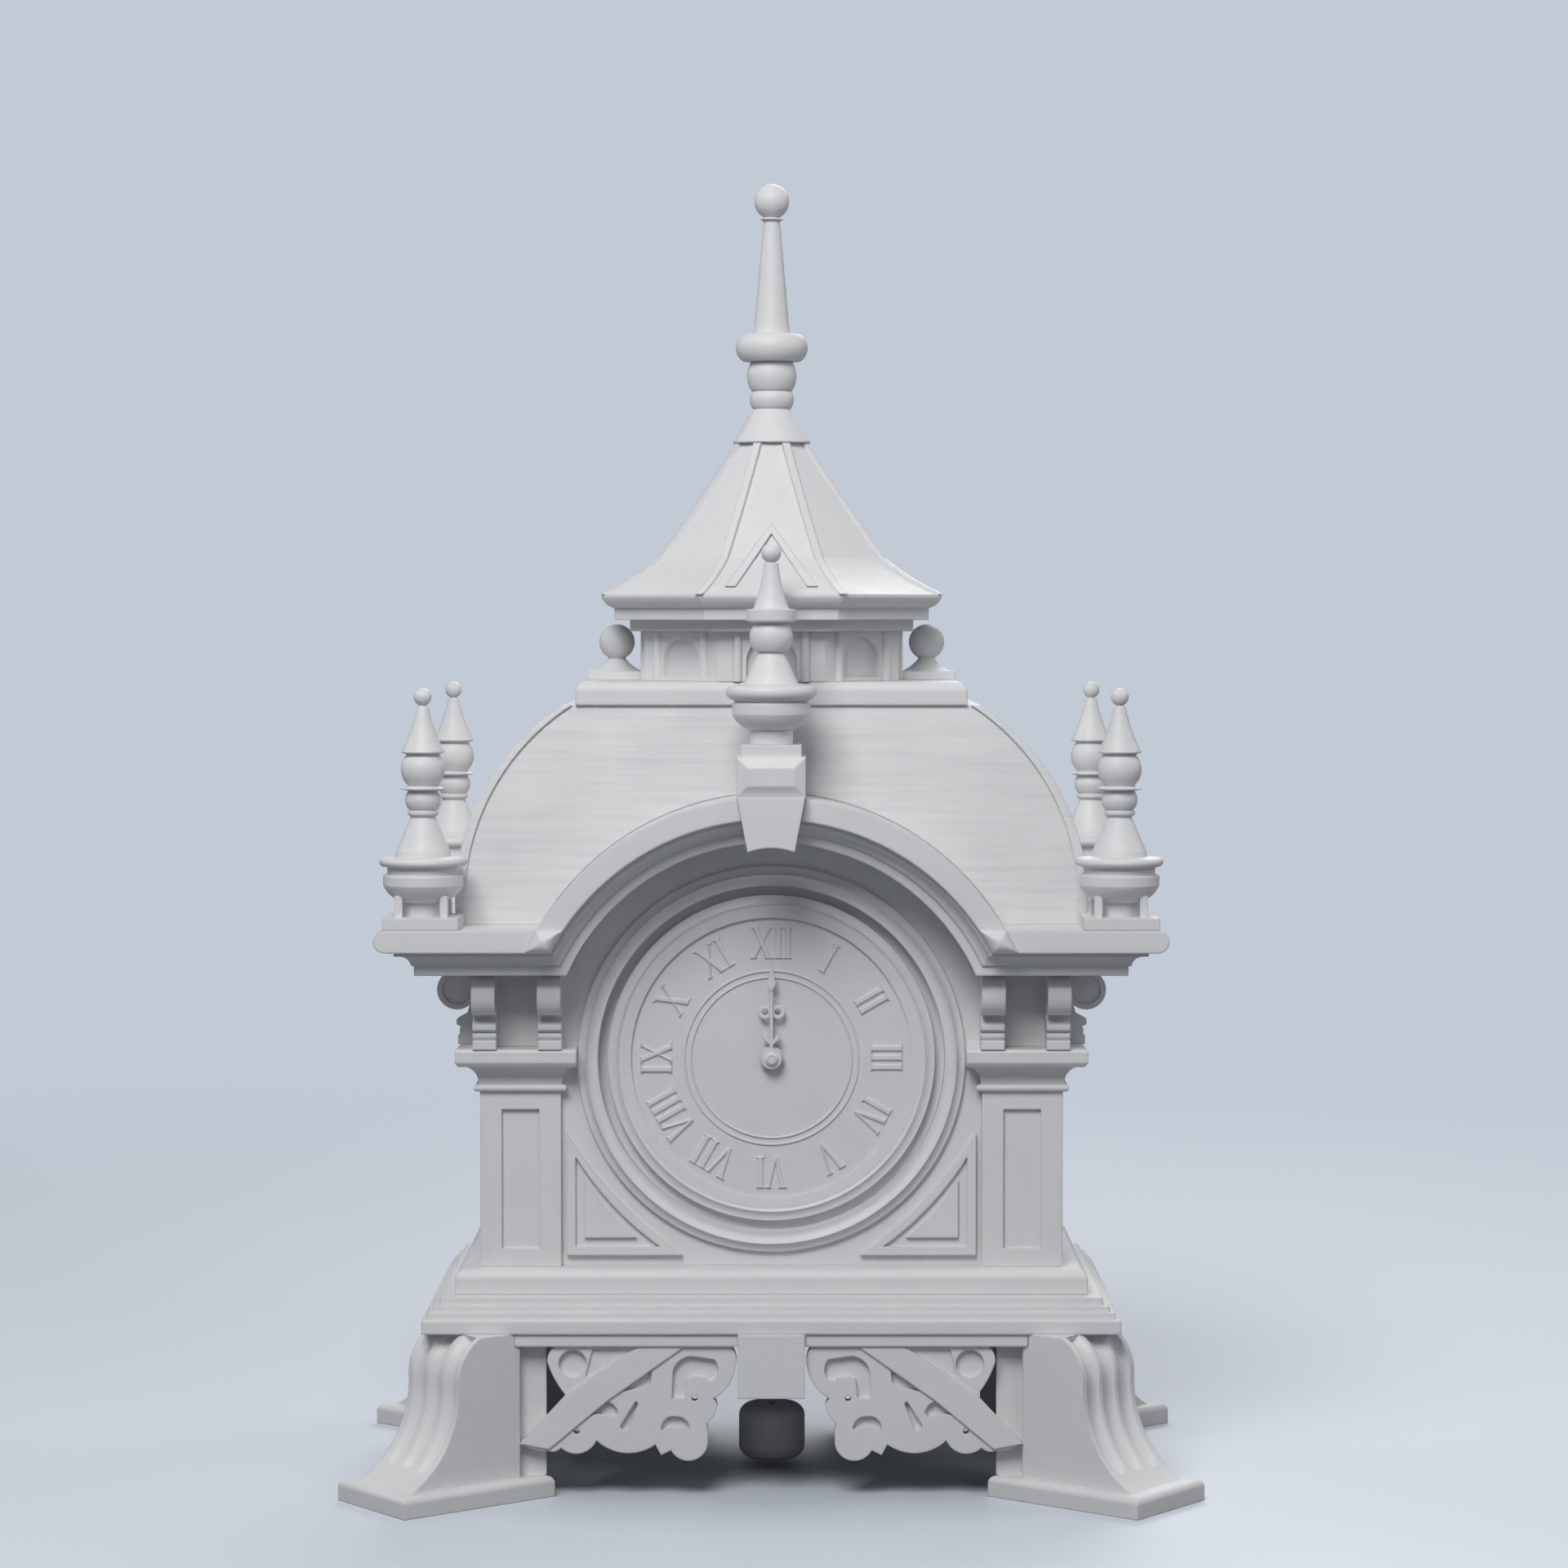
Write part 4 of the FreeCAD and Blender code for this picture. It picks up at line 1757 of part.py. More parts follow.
def make_anchor():
    """Recoil anchor on its arbor with the crutch, and the cock that carries it and the pendulum."""
    y_anchor = y_train + S.escape_layer + (S.wheel_thick - S.anchor_thick) / 2
    steps = [(y_front_plate + S.end_shake, S.pivot_radius), (y_train + S.end_shake, S.arbor_radius),
             (y_bridge - S.end_shake, S.pivot_radius), (y_bridge + S.cock_bridge * COCK_PIVOT_SHARE, 0)]
    shaft = arbor("anchor_shaft", steps)
    body = Body("anchor_arms")
    reach = S.pallet_reach
    width = S.pallet_width
    rim = S.escape_tip + S.pallet_gap
    z_foot = root(rim * rim - reach * reach) - S.anchor_rise
    hub = S.anchor_hub
    arm = [(0, hub), (reach * 0.75, hub * 0.2, -0.2), (reach + width, z_foot - width * 0.4),
           (reach, z_foot), (reach * 0.62, -hub * 0.9, 0.15), (0, -hub)]
    body.pad("front", [arm], y_anchor, y_anchor + S.anchor_thick)
    body.pad("front", [flip(arm)], y_anchor, y_anchor + S.anchor_thick)
    crutch = Body("crutch")
    y_crutch = y_rear + S.crutch_gap
    y_arm = y_crutch + S.crutch_thick
    half = S.crutch_width / 2
    crutch.pad("front", [circle(0, 0, S.crutch_width)], y_crutch, y_arm)
    crutch.pad("front", [rectangle(-half, -S.crutch_length, half, 0)], y_crutch, y_arm)
    x_fork = S.rod_radius + S.fork_gap
    z_fork = -S.crutch_length
    foot = rectangle(-x_fork - S.fork_thick, z_fork, x_fork + S.fork_thick, z_fork + S.crutch_width)
    crutch.pad("front", [foot], y_crutch, y_arm)
    for side in (-1, 1):
        prong = rectangle(x_fork * side, z_fork, (x_fork + S.fork_thick) * side, z_fork + S.crutch_width)
        crutch.pad("front", [prong], y_arm, y_crutch + S.fork_reach)
    anchor = fuse("anchor", [shaft, body.item, crutch.item])
    node(move(anchor, 0, 0, anchor_z), "anchor")
    cock = Body("suspension_cock")
    wide = S.cock_half_width
    tall = S.cock_half_height
    cock.pad("front", [rectangle(-wide, -tall, wide, tall)], y_bridge, y_bridge + S.cock_bridge)
    for side in (-1, 1):
        foot = rectangle(wide * side, -tall, (wide - S.cock_foot_width) * side, tall)
        cock.pad("front", [foot], y_rear, y_bridge)
    cock.pocket("front", [circle(0, 0, S.pivot_radius + S.running_clearance)], y_bridge,
                y_bridge + S.cock_bridge * COCK_HOLE_SHARE)
    y_pin = y_bridge + S.cock_bridge
    cock.pad("front", [circle(0, 0, S.cock_pin)], y_pin, y_pin + S.cock_pin_length)
    cock.pad("front", [circle(0, 0, S.cock_pin_head)], y_pin + S.cock_pin_length,
             y_pin + S.cock_pin_length + S.cock_head_thick)
    node(move(cock.item, 0, 0, anchor_z), "suspension_cock")


BOB_SHARES = [(0.74, 0.0, 0.30), (1.0, 0.22), (1.0, 0.78, 0.30), (0.74, 1.0)]


def make_pendulum():
    """Pendulum rod hung by its eye, the bob that slides on it and the rating nut in its foot."""
    fit = S.running_clearance
    rod = Body("pendulum_rod")
    half = S.rod_eye_thick / 2
    z_strap = anchor_z - S.rod_strap
    rod.pad("front", [circle(0, anchor_z, S.rod_eye)], -half, half)
    rod.pad("front", [rectangle(-S.rod_radius, z_strap, S.rod_radius, anchor_z)], -half, half)
    rod.pad("plan", [circle(0, 0, S.rod_radius)], S.rod_end, z_strap)
    rod.pocket("front", [circle(0, anchor_z, S.cock_pin + fit)], -half, half)
    node(move(rod.item, 0, y_pendulum, 0), "pendulum_rod")
    bob = Body("pendulum_bob")
    outer = scaled(BOB_SHARES, S.bob_radius, S.bob_height)
    z_recess = S.rating_recess_height
    bore = S.rod_radius + fit
    bob.revolve([outer + [(bore, S.bob_height), (bore, z_recess), (S.rating_recess, z_recess),
                          (S.rating_recess, 0)]])
    node(move(bob.item, 0, y_pendulum, S.bob_bottom), "pendulum_bob")
    nut = Body("rating_nut")
    nut.revolve([[(bore, 0), (S.rating_radius, 0), (S.rating_radius, S.rating_height), (bore, S.rating_height)]])
    node(move(nut.item, 0, y_pendulum, S.bob_bottom + z_recess - S.rating_height), "rating_nut")


def make_key():
    """Winding key on the square of the winding arbor."""
    fit = S.running_clearance
    y_end = y_rear + S.ratchet_gap + S.winding_length
    y0 = y_end - S.key_stem_length + S.key_start
    key = Body("winding_key")
    key.pad("front", [circle(0, 0, S.key_stem_radius)], y0, y0 + S.key_stem_length)
    half = S.winding_square / 2 + fit
    wing = scaled(WING_SHARES, S.key_wing_half, S.key_wing_length)
    outline = mirrored([(x, c) + tuple(rest) for x, c, *rest in wing])
    sketch_shapes = [[(c[0], y0 + S.key_stem_length + c[1]) + tuple(c[2:]) for c in outline]]
    for side in (-1, 1):
        sketch_shapes.append(circle(S.key_wing_half * side * WING_HOLE_SHARE,
                                    y0 + S.key_stem_length + S.key_wing_length / 2, S.key_hole))
    key.pad("plan", sketch_shapes, -S.key_wing_thick / 2, S.key_wing_thick / 2)
    key.pocket("front", [rectangle(-half, -half, half, half)], y0, y_end + fit)
    node(move(key.item, barrel_x, 0, barrel_z), "winding_key")


WING_SHARES = [(0.18, -0.25), (0.24, 0.0, 0.0), (0.72, 0.0, 0.41), (1.0, 0.28), (1.0, 0.72, 0.41), (0.72, 1.0),
               (0.3, 1.0, -0.2), (0.1, 0.85)]
WING_HOLE_SHARE = 0.62


def check_document():
    """Stop with a plain message if any object or any sub-part is faulty."""
    faults = [f"{item.Label} ({item.TypeId}) is faulty" for item in doc.Objects
              if "Invalid" in item.State or "Error" in item.State]
    for item in nodes:
        if item.Shape.isNull() or not item.Shape.isValid() or not item.Shape.Solids:
            faults.append(f"{item.Label} has no valid solid")
    if len({item.Label for item in nodes}) < len(nodes):
        faults.append("two sub-parts have the same label")
    if faults:
        raise RuntimeError("; ".join(faults))


def main():
    legs = make_legs()
    make_rails(legs)
    make_frets()
    make_base()
    make_front_wall()
    make_side_walls()
    make_rear_wall()
    make_door()
    make_pilasters()
    make_brackets()
    make_cornice()
    make_dome()
    make_platform()
    make_belfry()
    make_roof()
    make_finials()
    make_dial()
    make_hands()
    make_plates()
    make_train()
    make_barrel()
    make_motion_work()
    make_anchor()
    make_pendulum()
    make_key()
    doc.recompute()
    check_document()
    os.makedirs("parts", exist_ok=True)
    for item in nodes:
        item.Shape.exportStep(os.path.join("parts", item.Label + ".step"))
    print(f"{len(nodes)} nodes written")


main()
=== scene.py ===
"""Visual model of a steeple clock: paint, metal, dial figures, hands, light and camera.

Every length is in metres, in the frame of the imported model: X to the right seen from the dial,
Y to the rear, Z up, the origin on the floor under the middle of the case.
"""

from __future__ import annotations

import json
import logging
import math
from dataclasses import dataclass, field, replace
from enum import Enum
from typing import Iterator, Sequence

import bpy
import numpy as np
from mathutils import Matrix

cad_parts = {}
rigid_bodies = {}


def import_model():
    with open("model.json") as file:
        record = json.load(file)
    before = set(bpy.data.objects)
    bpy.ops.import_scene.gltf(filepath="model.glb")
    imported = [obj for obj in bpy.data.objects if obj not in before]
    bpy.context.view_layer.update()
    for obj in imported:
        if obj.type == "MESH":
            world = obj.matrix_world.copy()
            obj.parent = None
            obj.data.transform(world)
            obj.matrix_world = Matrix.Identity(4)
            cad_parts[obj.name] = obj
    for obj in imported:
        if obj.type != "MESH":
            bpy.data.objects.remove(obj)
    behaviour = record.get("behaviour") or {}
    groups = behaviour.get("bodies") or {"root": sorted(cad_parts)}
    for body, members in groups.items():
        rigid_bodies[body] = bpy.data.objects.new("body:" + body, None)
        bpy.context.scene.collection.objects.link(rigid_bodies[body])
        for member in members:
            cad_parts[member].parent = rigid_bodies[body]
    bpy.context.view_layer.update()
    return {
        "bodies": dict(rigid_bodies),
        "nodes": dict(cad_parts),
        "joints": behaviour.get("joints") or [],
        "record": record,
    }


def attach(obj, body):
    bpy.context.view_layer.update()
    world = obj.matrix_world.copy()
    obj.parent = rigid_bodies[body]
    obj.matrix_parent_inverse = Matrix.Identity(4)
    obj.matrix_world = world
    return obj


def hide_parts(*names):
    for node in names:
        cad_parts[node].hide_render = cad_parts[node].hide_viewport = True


LOG = logging.getLogger("steeple_clock")
Vec2 = tuple[float, float]
Vec3 = tuple[float, float, float]
MM = 0.001
FULL_TURN = 2 * math.pi
HOURS_ROUND = 12
DIAL_CENTRE_Z = 165.3 * MM


class Wire:
    """A shader value that can be reckoned with like a number."""

    def __init__(self, tree: bpy.types.NodeTree, socket: bpy.types.NodeSocket) -> None:
        """Wrap an output socket.

        Args:
            tree: The node tree that the socket belongs to.
            socket: The output socket.
        """
        self.tree = tree
        self.socket = socket

    @classmethod
    def source(cls, tree: bpy.types.NodeTree, kind: str, output: str) -> Wire:
        """Add a shader node that needs no input.

        Args:
            tree: The node tree to add it to.
            kind: The node's type name without its ShaderNode prefix.
            output: The output socket to wrap.

        Returns:
            The chosen output as a wire.
        """
        return cls(tree, tree.nodes.new("ShaderNode" + kind).outputs[output])

    def node(self, kind: str, inputs: dict[str | int, object], output: str | int = 0,
             **settings: object) -> Wire:
        """Add any shader node.

        Args:
            kind: The node's type name without its ShaderNode prefix.
            inputs: Values or wires for its input sockets, by name or index.
            output: The output socket to wrap.
            **settings: Properties of the node itself.

        Returns:
            The chosen output as a wire.
        """
        made = self.tree.nodes.new("ShaderNode" + kind)
        for name, value in settings.items():
            setattr(made, name, value)
        for key, value in inputs.items():
            if isinstance(value, Wire):
                value.feed(made.inputs[key])
            else:
                made.inputs[key].default_value = value
        return Wire(self.tree, made.outputs[output])

    def feed(self, socket: bpy.types.NodeSocket) -> None:
        """Lead this value into an input socket."""
        self.tree.links.new(self.socket, socket)

    def math(self, operation: str, *values: float | Wire) -> Wire:
        """Join this value and others with one math operation.

        Args:
            operation: Name of the operation.
            *values: The other values, in order.

        Returns:
            The result.
        """
        return self.node("Math", dict(enumerate((self,) + values)), operation=operation)

    def __add__(self, other: float | Wire) -> Wire:
        """Add."""
        return self.math("ADD", other)

    def __mul__(self, other: float | Wire) -> Wire:
        """Multiply."""
        return self.math("MULTIPLY", other)

    def __rsub__(self, other: float | Wire) -> Wire:
        """Subtract this value from another."""
        return self.math("MULTIPLY", -1.0).math("ADD", other)

    def scaled_space(self, scale: Vec3) -> Wire:
        """Stretch a position by a factor along each axis."""
        return self.node("VectorMath", {0: self, 1: scale}, operation="MULTIPLY")

    def noise(self, scale: float, detail: float = 3.0, roughness: float = 0.55) -> Wire:
        """Read fractal noise at this position.

        Args:
            scale: Waves in a metre.
            detail: Number of finer octaves.
            roughness: Strength of each octave against the one before.

        Returns:
            The noise, from 0 to 1.
        """
        return self.node("TexNoise", {"Vector": self, "Scale": scale, "Detail": detail,
                                      "Roughness": roughness})

    def smooth(self, low: float, high: float) -> Wire:
        """Map a range onto 0 to 1 with an S-shaped curve.

        Args:
            low: The value that becomes 0.
            high: The value that becomes 1.

        Returns:
            The mapped value.
        """
        return self.node("MapRange", {"Value": self, "From Min": low, "From Max": high},
                         interpolation_type="SMOOTHSTEP")


def mix_colours(blend: Wire, first: Vec3 | Wire, second: Vec3 | Wire) -> Wire:
    """Blend two colours: first * (1 - blend) + second * blend.

    Args:
        blend: 0 for the first colour, 1 for the second.
        first: Linear red, green and blue, or a wire that carries them.
        second: Linear red, green and blue, or a wire that carries them.

    Returns:
        The mixed colour.
    """
    made = blend.tree.nodes.new("ShaderNodeMix")
    made.data_type = "RGBA"
    blend.feed(made.inputs[0])
    sockets = [socket for socket in made.inputs if socket.type == "RGBA"]
    for socket, colour in zip(sockets, (first, second)):
        if isinstance(colour, Wire):
            colour.feed(socket)
        else:
            socket.default_value = (*colour, 1.0)
    return Wire(blend.tree, [socket for socket in made.outputs if socket.type == "RGBA"][0])


def start_material(name: str) -> tuple[bpy.types.Material, bpy.types.ShaderNode, Wire]:
    """Make a material to be filled in.

    Args:
        name: Name of the material.

    Returns:
        The material, its surface shader, and the position on the object.
    """
    material = bpy.data.materials.new(name)
    material.use_nodes = True
    tree = material.node_tree
    return material, tree.nodes["Principled BSDF"], Wire.source(tree, "TexCoord", "Object")


class Grain(Enum):
    """Direction in which the fine lines under a finish run, as a stretch of space."""

    NONE = (1.0, 1.0, 1.0)
    LEVEL = (0.04, 0.04, 1.0)
    UPRIGHT = (1.0, 1.0, 0.04)


@dataclass(frozen=True)
class Finish:
    """One surface finish: two close tones, mixed by soft mottling and by brush marks.

    The brush marks and a finer grain also raise the surface a little. Edges catch the light as if
    they were rounded by edge_mm. With painted_before set, what lies in front of that Y is painted
    like the dial.
    """

    name: str
    colour: Vec3
    shade: Vec3
    roughness: float
    metallic: float = 0.0
    grain: Grain = Grain.NONE
    grain_scale: float = 900.0
    relief_mm: float = 0.05
    streak: Vec2 = (0.35, 0.75)
    edge_mm: float = 0.9
    painted_before: float | None = None
    mottle_scale: float = 45.0
    mottle_detail: float = 4.0
    mottle_range: Vec2 = (0.3, 0.7)
    mottle_share: float = 0.45
    streak_share: float = 0.55
    fine_detail: float = 5.0
    fine_roughness: float = 0.6
    fine_share: float = 0.55
    brush_scale_share: float = 0.28
    brush_detail: float = 3.0
    brush_roughness: float = 0.5
    brush_share: float = 0.45
    roughness_spread: float = 0.10
    edge_samples: int = 4

    def build(self) -> bpy.types.Material:
        """Make the material.

        Returns:
            The new material.
        """
        material, shader, place = start_material(self.name)
        shader.inputs["Metallic"].default_value = self.metallic
        grained = place.scaled_space(self.grain.value)
        mottle = place.noise(self.mottle_scale, self.mottle_detail)
        fine = grained.noise(self.grain_scale, self.fine_detail, self.fine_roughness)
        brush = grained.noise(self.grain_scale * self.brush_scale_share, self.brush_detail,
                              self.brush_roughness)
        blend = (mottle.smooth(*self.mottle_range) * self.mottle_share
                 + brush.smooth(*self.streak) * self.streak_share)
        tint = mix_colours(blend, self.colour, self.shade)
        if self.painted_before is not None:
            depth = place.node("SeparateXYZ", {0: place}, "Y")
            metal = depth.math("GREATER_THAN", self.painted_before)
            tint = mix_colours(metal, DIAL_PAINT.colour, tint)
            (metal * self.metallic).feed(shader.inputs["Metallic"])
        tint.feed(shader.inputs["Base Color"])
        rough = blend * self.roughness_spread + (self.roughness - self.roughness_spread / 2)
        rough.feed(shader.inputs["Roughness"])
        height = fine * self.fine_share + brush * self.brush_share
        rounded = place.node("Bevel", {"Radius": self.edge_mm * MM}, samples=self.edge_samples)
        bump = place.node("Bump", {"Strength": 1.0, "Distance": self.relief_mm * MM,
                                   "Height": height, "Normal": rounded})
        bump.feed(shader.inputs["Normal"])
        return material


PAINT = Finish("case_paint", (0.70, 0.70, 0.705), (0.66, 0.665, 0.675), 0.52, relief_mm=0.035)
LEVEL_PAINT = replace(PAINT, name="level_paint", roughness=0.54, grain=Grain.LEVEL,
                      grain_scale=620.0, relief_mm=0.04, edge_mm=1.3)
DOME_PAINT = Finish("brushed_dome_paint", (0.71, 0.71, 0.715), (0.62, 0.625, 0.635), 0.55,
                    grain=Grain.LEVEL, grain_scale=1500.0, relief_mm=0.10, streak=(0.42, 0.68))
UPRIGHT_PAINT = replace(PAINT, name="brushed_upright_paint", roughness=0.53, grain=Grain.UPRIGHT,
                        grain_scale=620.0, relief_mm=0.07)
DIAL_PAINT = Finish("dial_paint", (0.68, 0.68, 0.69), (0.65, 0.65, 0.665), 0.48, relief_mm=0.02,
                    edge_mm=0.35)
BRASS = Finish("movement_brass", (0.74, 0.54, 0.25), (0.68, 0.48, 0.21), 0.30, metallic=1.0,
               grain=Grain.UPRIGHT, grain_scale=1500.0, relief_mm=0.005, edge_mm=0.12)
ARBOR = replace(BRASS, name="centre_arbor_brass", painted_before=-50.0 * MM)
STEEL = Finish("movement_steel", (0.55, 0.56, 0.58), (0.46, 0.47, 0.50), 0.32, metallic=1.0,
               grain=Grain.UPRIGHT, grain_scale=1800.0, relief_mm=0.010, edge_mm=0.12)
BLUED = Finish("spring_steel", (0.20, 0.24, 0.33), (0.14, 0.17, 0.26), 0.30, metallic=1.0,
               grain=Grain.LEVEL, grain_scale=1500.0, relief_mm=0.010, edge_mm=0.12)
FINISHES = (PAINT, LEVEL_PAINT, DOME_PAINT, UPRIGHT_PAINT, DIAL_PAINT, BRASS, ARBOR, STEEL, BLUED)


def make_object(name: str, points: np.ndarray,
                faces: Sequence[Sequence[int]]) -> bpy.types.Object:
    """Make a flat-shaded mesh object at the origin.

    Args:
        name: Name of the object.
        points: Corner positions in metres, one row each.
        faces: Corner indices of each face.

    Returns:
        The new object, linked to the scene.
    """
    mesh = bpy.data.meshes.new(name)
    mesh.from_pydata(points.tolist(), [], faces)
    mesh.validate()
    mesh.update()
    made = bpy.data.objects.new(name, mesh)
    bpy.context.scene.collection.objects.link(made)
    return made


def dress(piece: bpy.types.Object, material: bpy.types.Material) -> None:
    """Give every material slot of an object one material.

    Args:
        piece: The object.
        material: Its material.
    """
    if not piece.material_slots:
        piece.data.materials.append(material)
    for entry in piece.material_slots:
        entry.material = material


def circle(radius: float, corners: int) -> tuple[np.ndarray, np.ndarray]:
    """Corners round a circle: (radius * cos t, radius * sin t) over one turn of t.

    Args:
        radius: Radius of the circle.
        corners: Number of corners.

    Returns:
        The two coordinates of each corner.
    """
    angle = np.linspace(0.0, FULL_TURN, corners, endpoint=False)
    return radius * np.cos(angle), radius * np.sin(angle)


class Relief:
    """Collects flat outlines on the dial and raises them into one mesh."""

    SHORTEST_EDGE = 1e-12
    SHARPEST_CORNER = 0.3
    RING_CROWN_SHARE = 1.08

    def __init__(self, name: str, y_back: float, height: float, inset: float,
                 closed: bool = False) -> None:
        """Start an empty relief.

        Args:
            name: Name of the piece.
            y_back: Level of the surface that the relief stands on.
            height: How far it stands out, towards -Y.
            inset: How much smaller the top of each outline is.
            closed: Whether its back is closed too, for a piece that stands free.
        """
        self.name = name
        self.y_back = y_back
        self.height = height
        self.inset = inset
        self.closed = closed
        self.points: list[np.ndarray] = []
        self.faces: list[list[int]] = []
        self.count = 0

    def level(self, x: np.ndarray, z: np.ndarray, rise: float) -> np.ndarray:
        """Keep one closed row of corners at a height above the back.

        Args:
            x: Corner positions to the right.
            z: Corner positions upwards.
            rise: Height of the row above the back.

        Returns:
            The indices of its corners.
        """
        self.points.append(np.column_stack([x, np.full(len(x), self.y_back - rise), z]))
        self.count += len(x)
        return np.arange(self.count - len(x), self.count)

    def band(self, low: np.ndarray, high: np.ndarray) -> None:
        """Join two closed rows of corners with four-sided faces."""
        corners = [low, np.roll(low, -1), np.roll(high, -1), high]
        self.faces += np.stack(corners, axis=1).tolist()

    def inner_outline(self, outline: np.ndarray) -> np.ndarray:
        """Draw an outline in by the inset.

        Each corner moves along the sum of its two edges' inward normals, divided by that sum's
        length along one normal. A corner that would cross the middle stays where it is.

        Args:
            outline: Corners (x, z), counter-clockwise.

        Returns:
            The drawn-in corners, in the same order.
        """
        edge = np.roll(outline, -1, axis=0) - outline
        normal = np.stack([-edge[:, 1], edge[:, 0]], axis=1)
        length = np.linalg.norm(normal, axis=1, keepdims=True)
        normal /= np.maximum(length, self.SHORTEST_EDGE)
        corner = normal + np.roll(normal, 1, axis=0)
        along = np.sum(corner * normal, axis=1, keepdims=True)
        corner /= np.maximum(along, self.SHARPEST_CORNER)
        moved = outline + corner * self.inset
        centre = outline.mean(axis=0)
        same_side = np.sum((moved - centre) * (outline - centre), axis=1, keepdims=True) > 0
        return np.where(same_side, moved, outline)

    def add(self, outline: np.ndarray, lift: float = 1.0) -> None:
        """Raise one convex outline, with sloping sides up to its drawn-in top.

        Args:
            outline: Corners (x, z) in order, either way round.
            lift: Share of the relief's height that it reaches.
        """
        x, z = outline.T
        if np.sum(x * np.roll(z, -1) - z * np.roll(x, -1)) < 0:
            outline = outline[::-1]
        low = self.level(*outline.T, 0.0)
        high = self.level(*self.inner_outline(outline).T, self.height * lift)
        self.faces.append(high.tolist())
        if self.closed:
            self.faces.append(low[::-1].tolist())
        self.band(low, high)

    def ring(self, centre: Vec2, inner: float, outer: float, segments: int) -> None:
        """Raise a narrow ring: a low ridge, turned round its centre.

        Args:
            centre: Its middle (x, z).
            inner: Inner radius.
            outer: Outer radius.
            segments: Corners round it.
        """
        profile = [(outer, 0.0), (outer - self.inset, self.height),
                   ((inner + outer) / 2, self.height * self.RING_CROWN_SHARE),
                   (inner + self.inset, self.height), (inner, 0.0)]
        rows = []
        for radius, rise in profile:
            x, z = circle(radius, segments)
            rows.append(self.level(centre[0] + x, centre[1] + z, rise))
        for low, high in zip(rows, rows[1:]):
            self.band(low, high)
        if self.closed:
            self.band(rows[-1], rows[0])

    def build(self) -> bpy.types.Object:
        """Make the object.

        Returns:
            The new piece.
        """
        return make_object(self.name, np.concatenate(self.points), self.faces)


class Stroke(Enum):
    """The three letters that the hour figures are made of."""

    ONE = "I"
    FIVE = "V"
    TEN = "X"


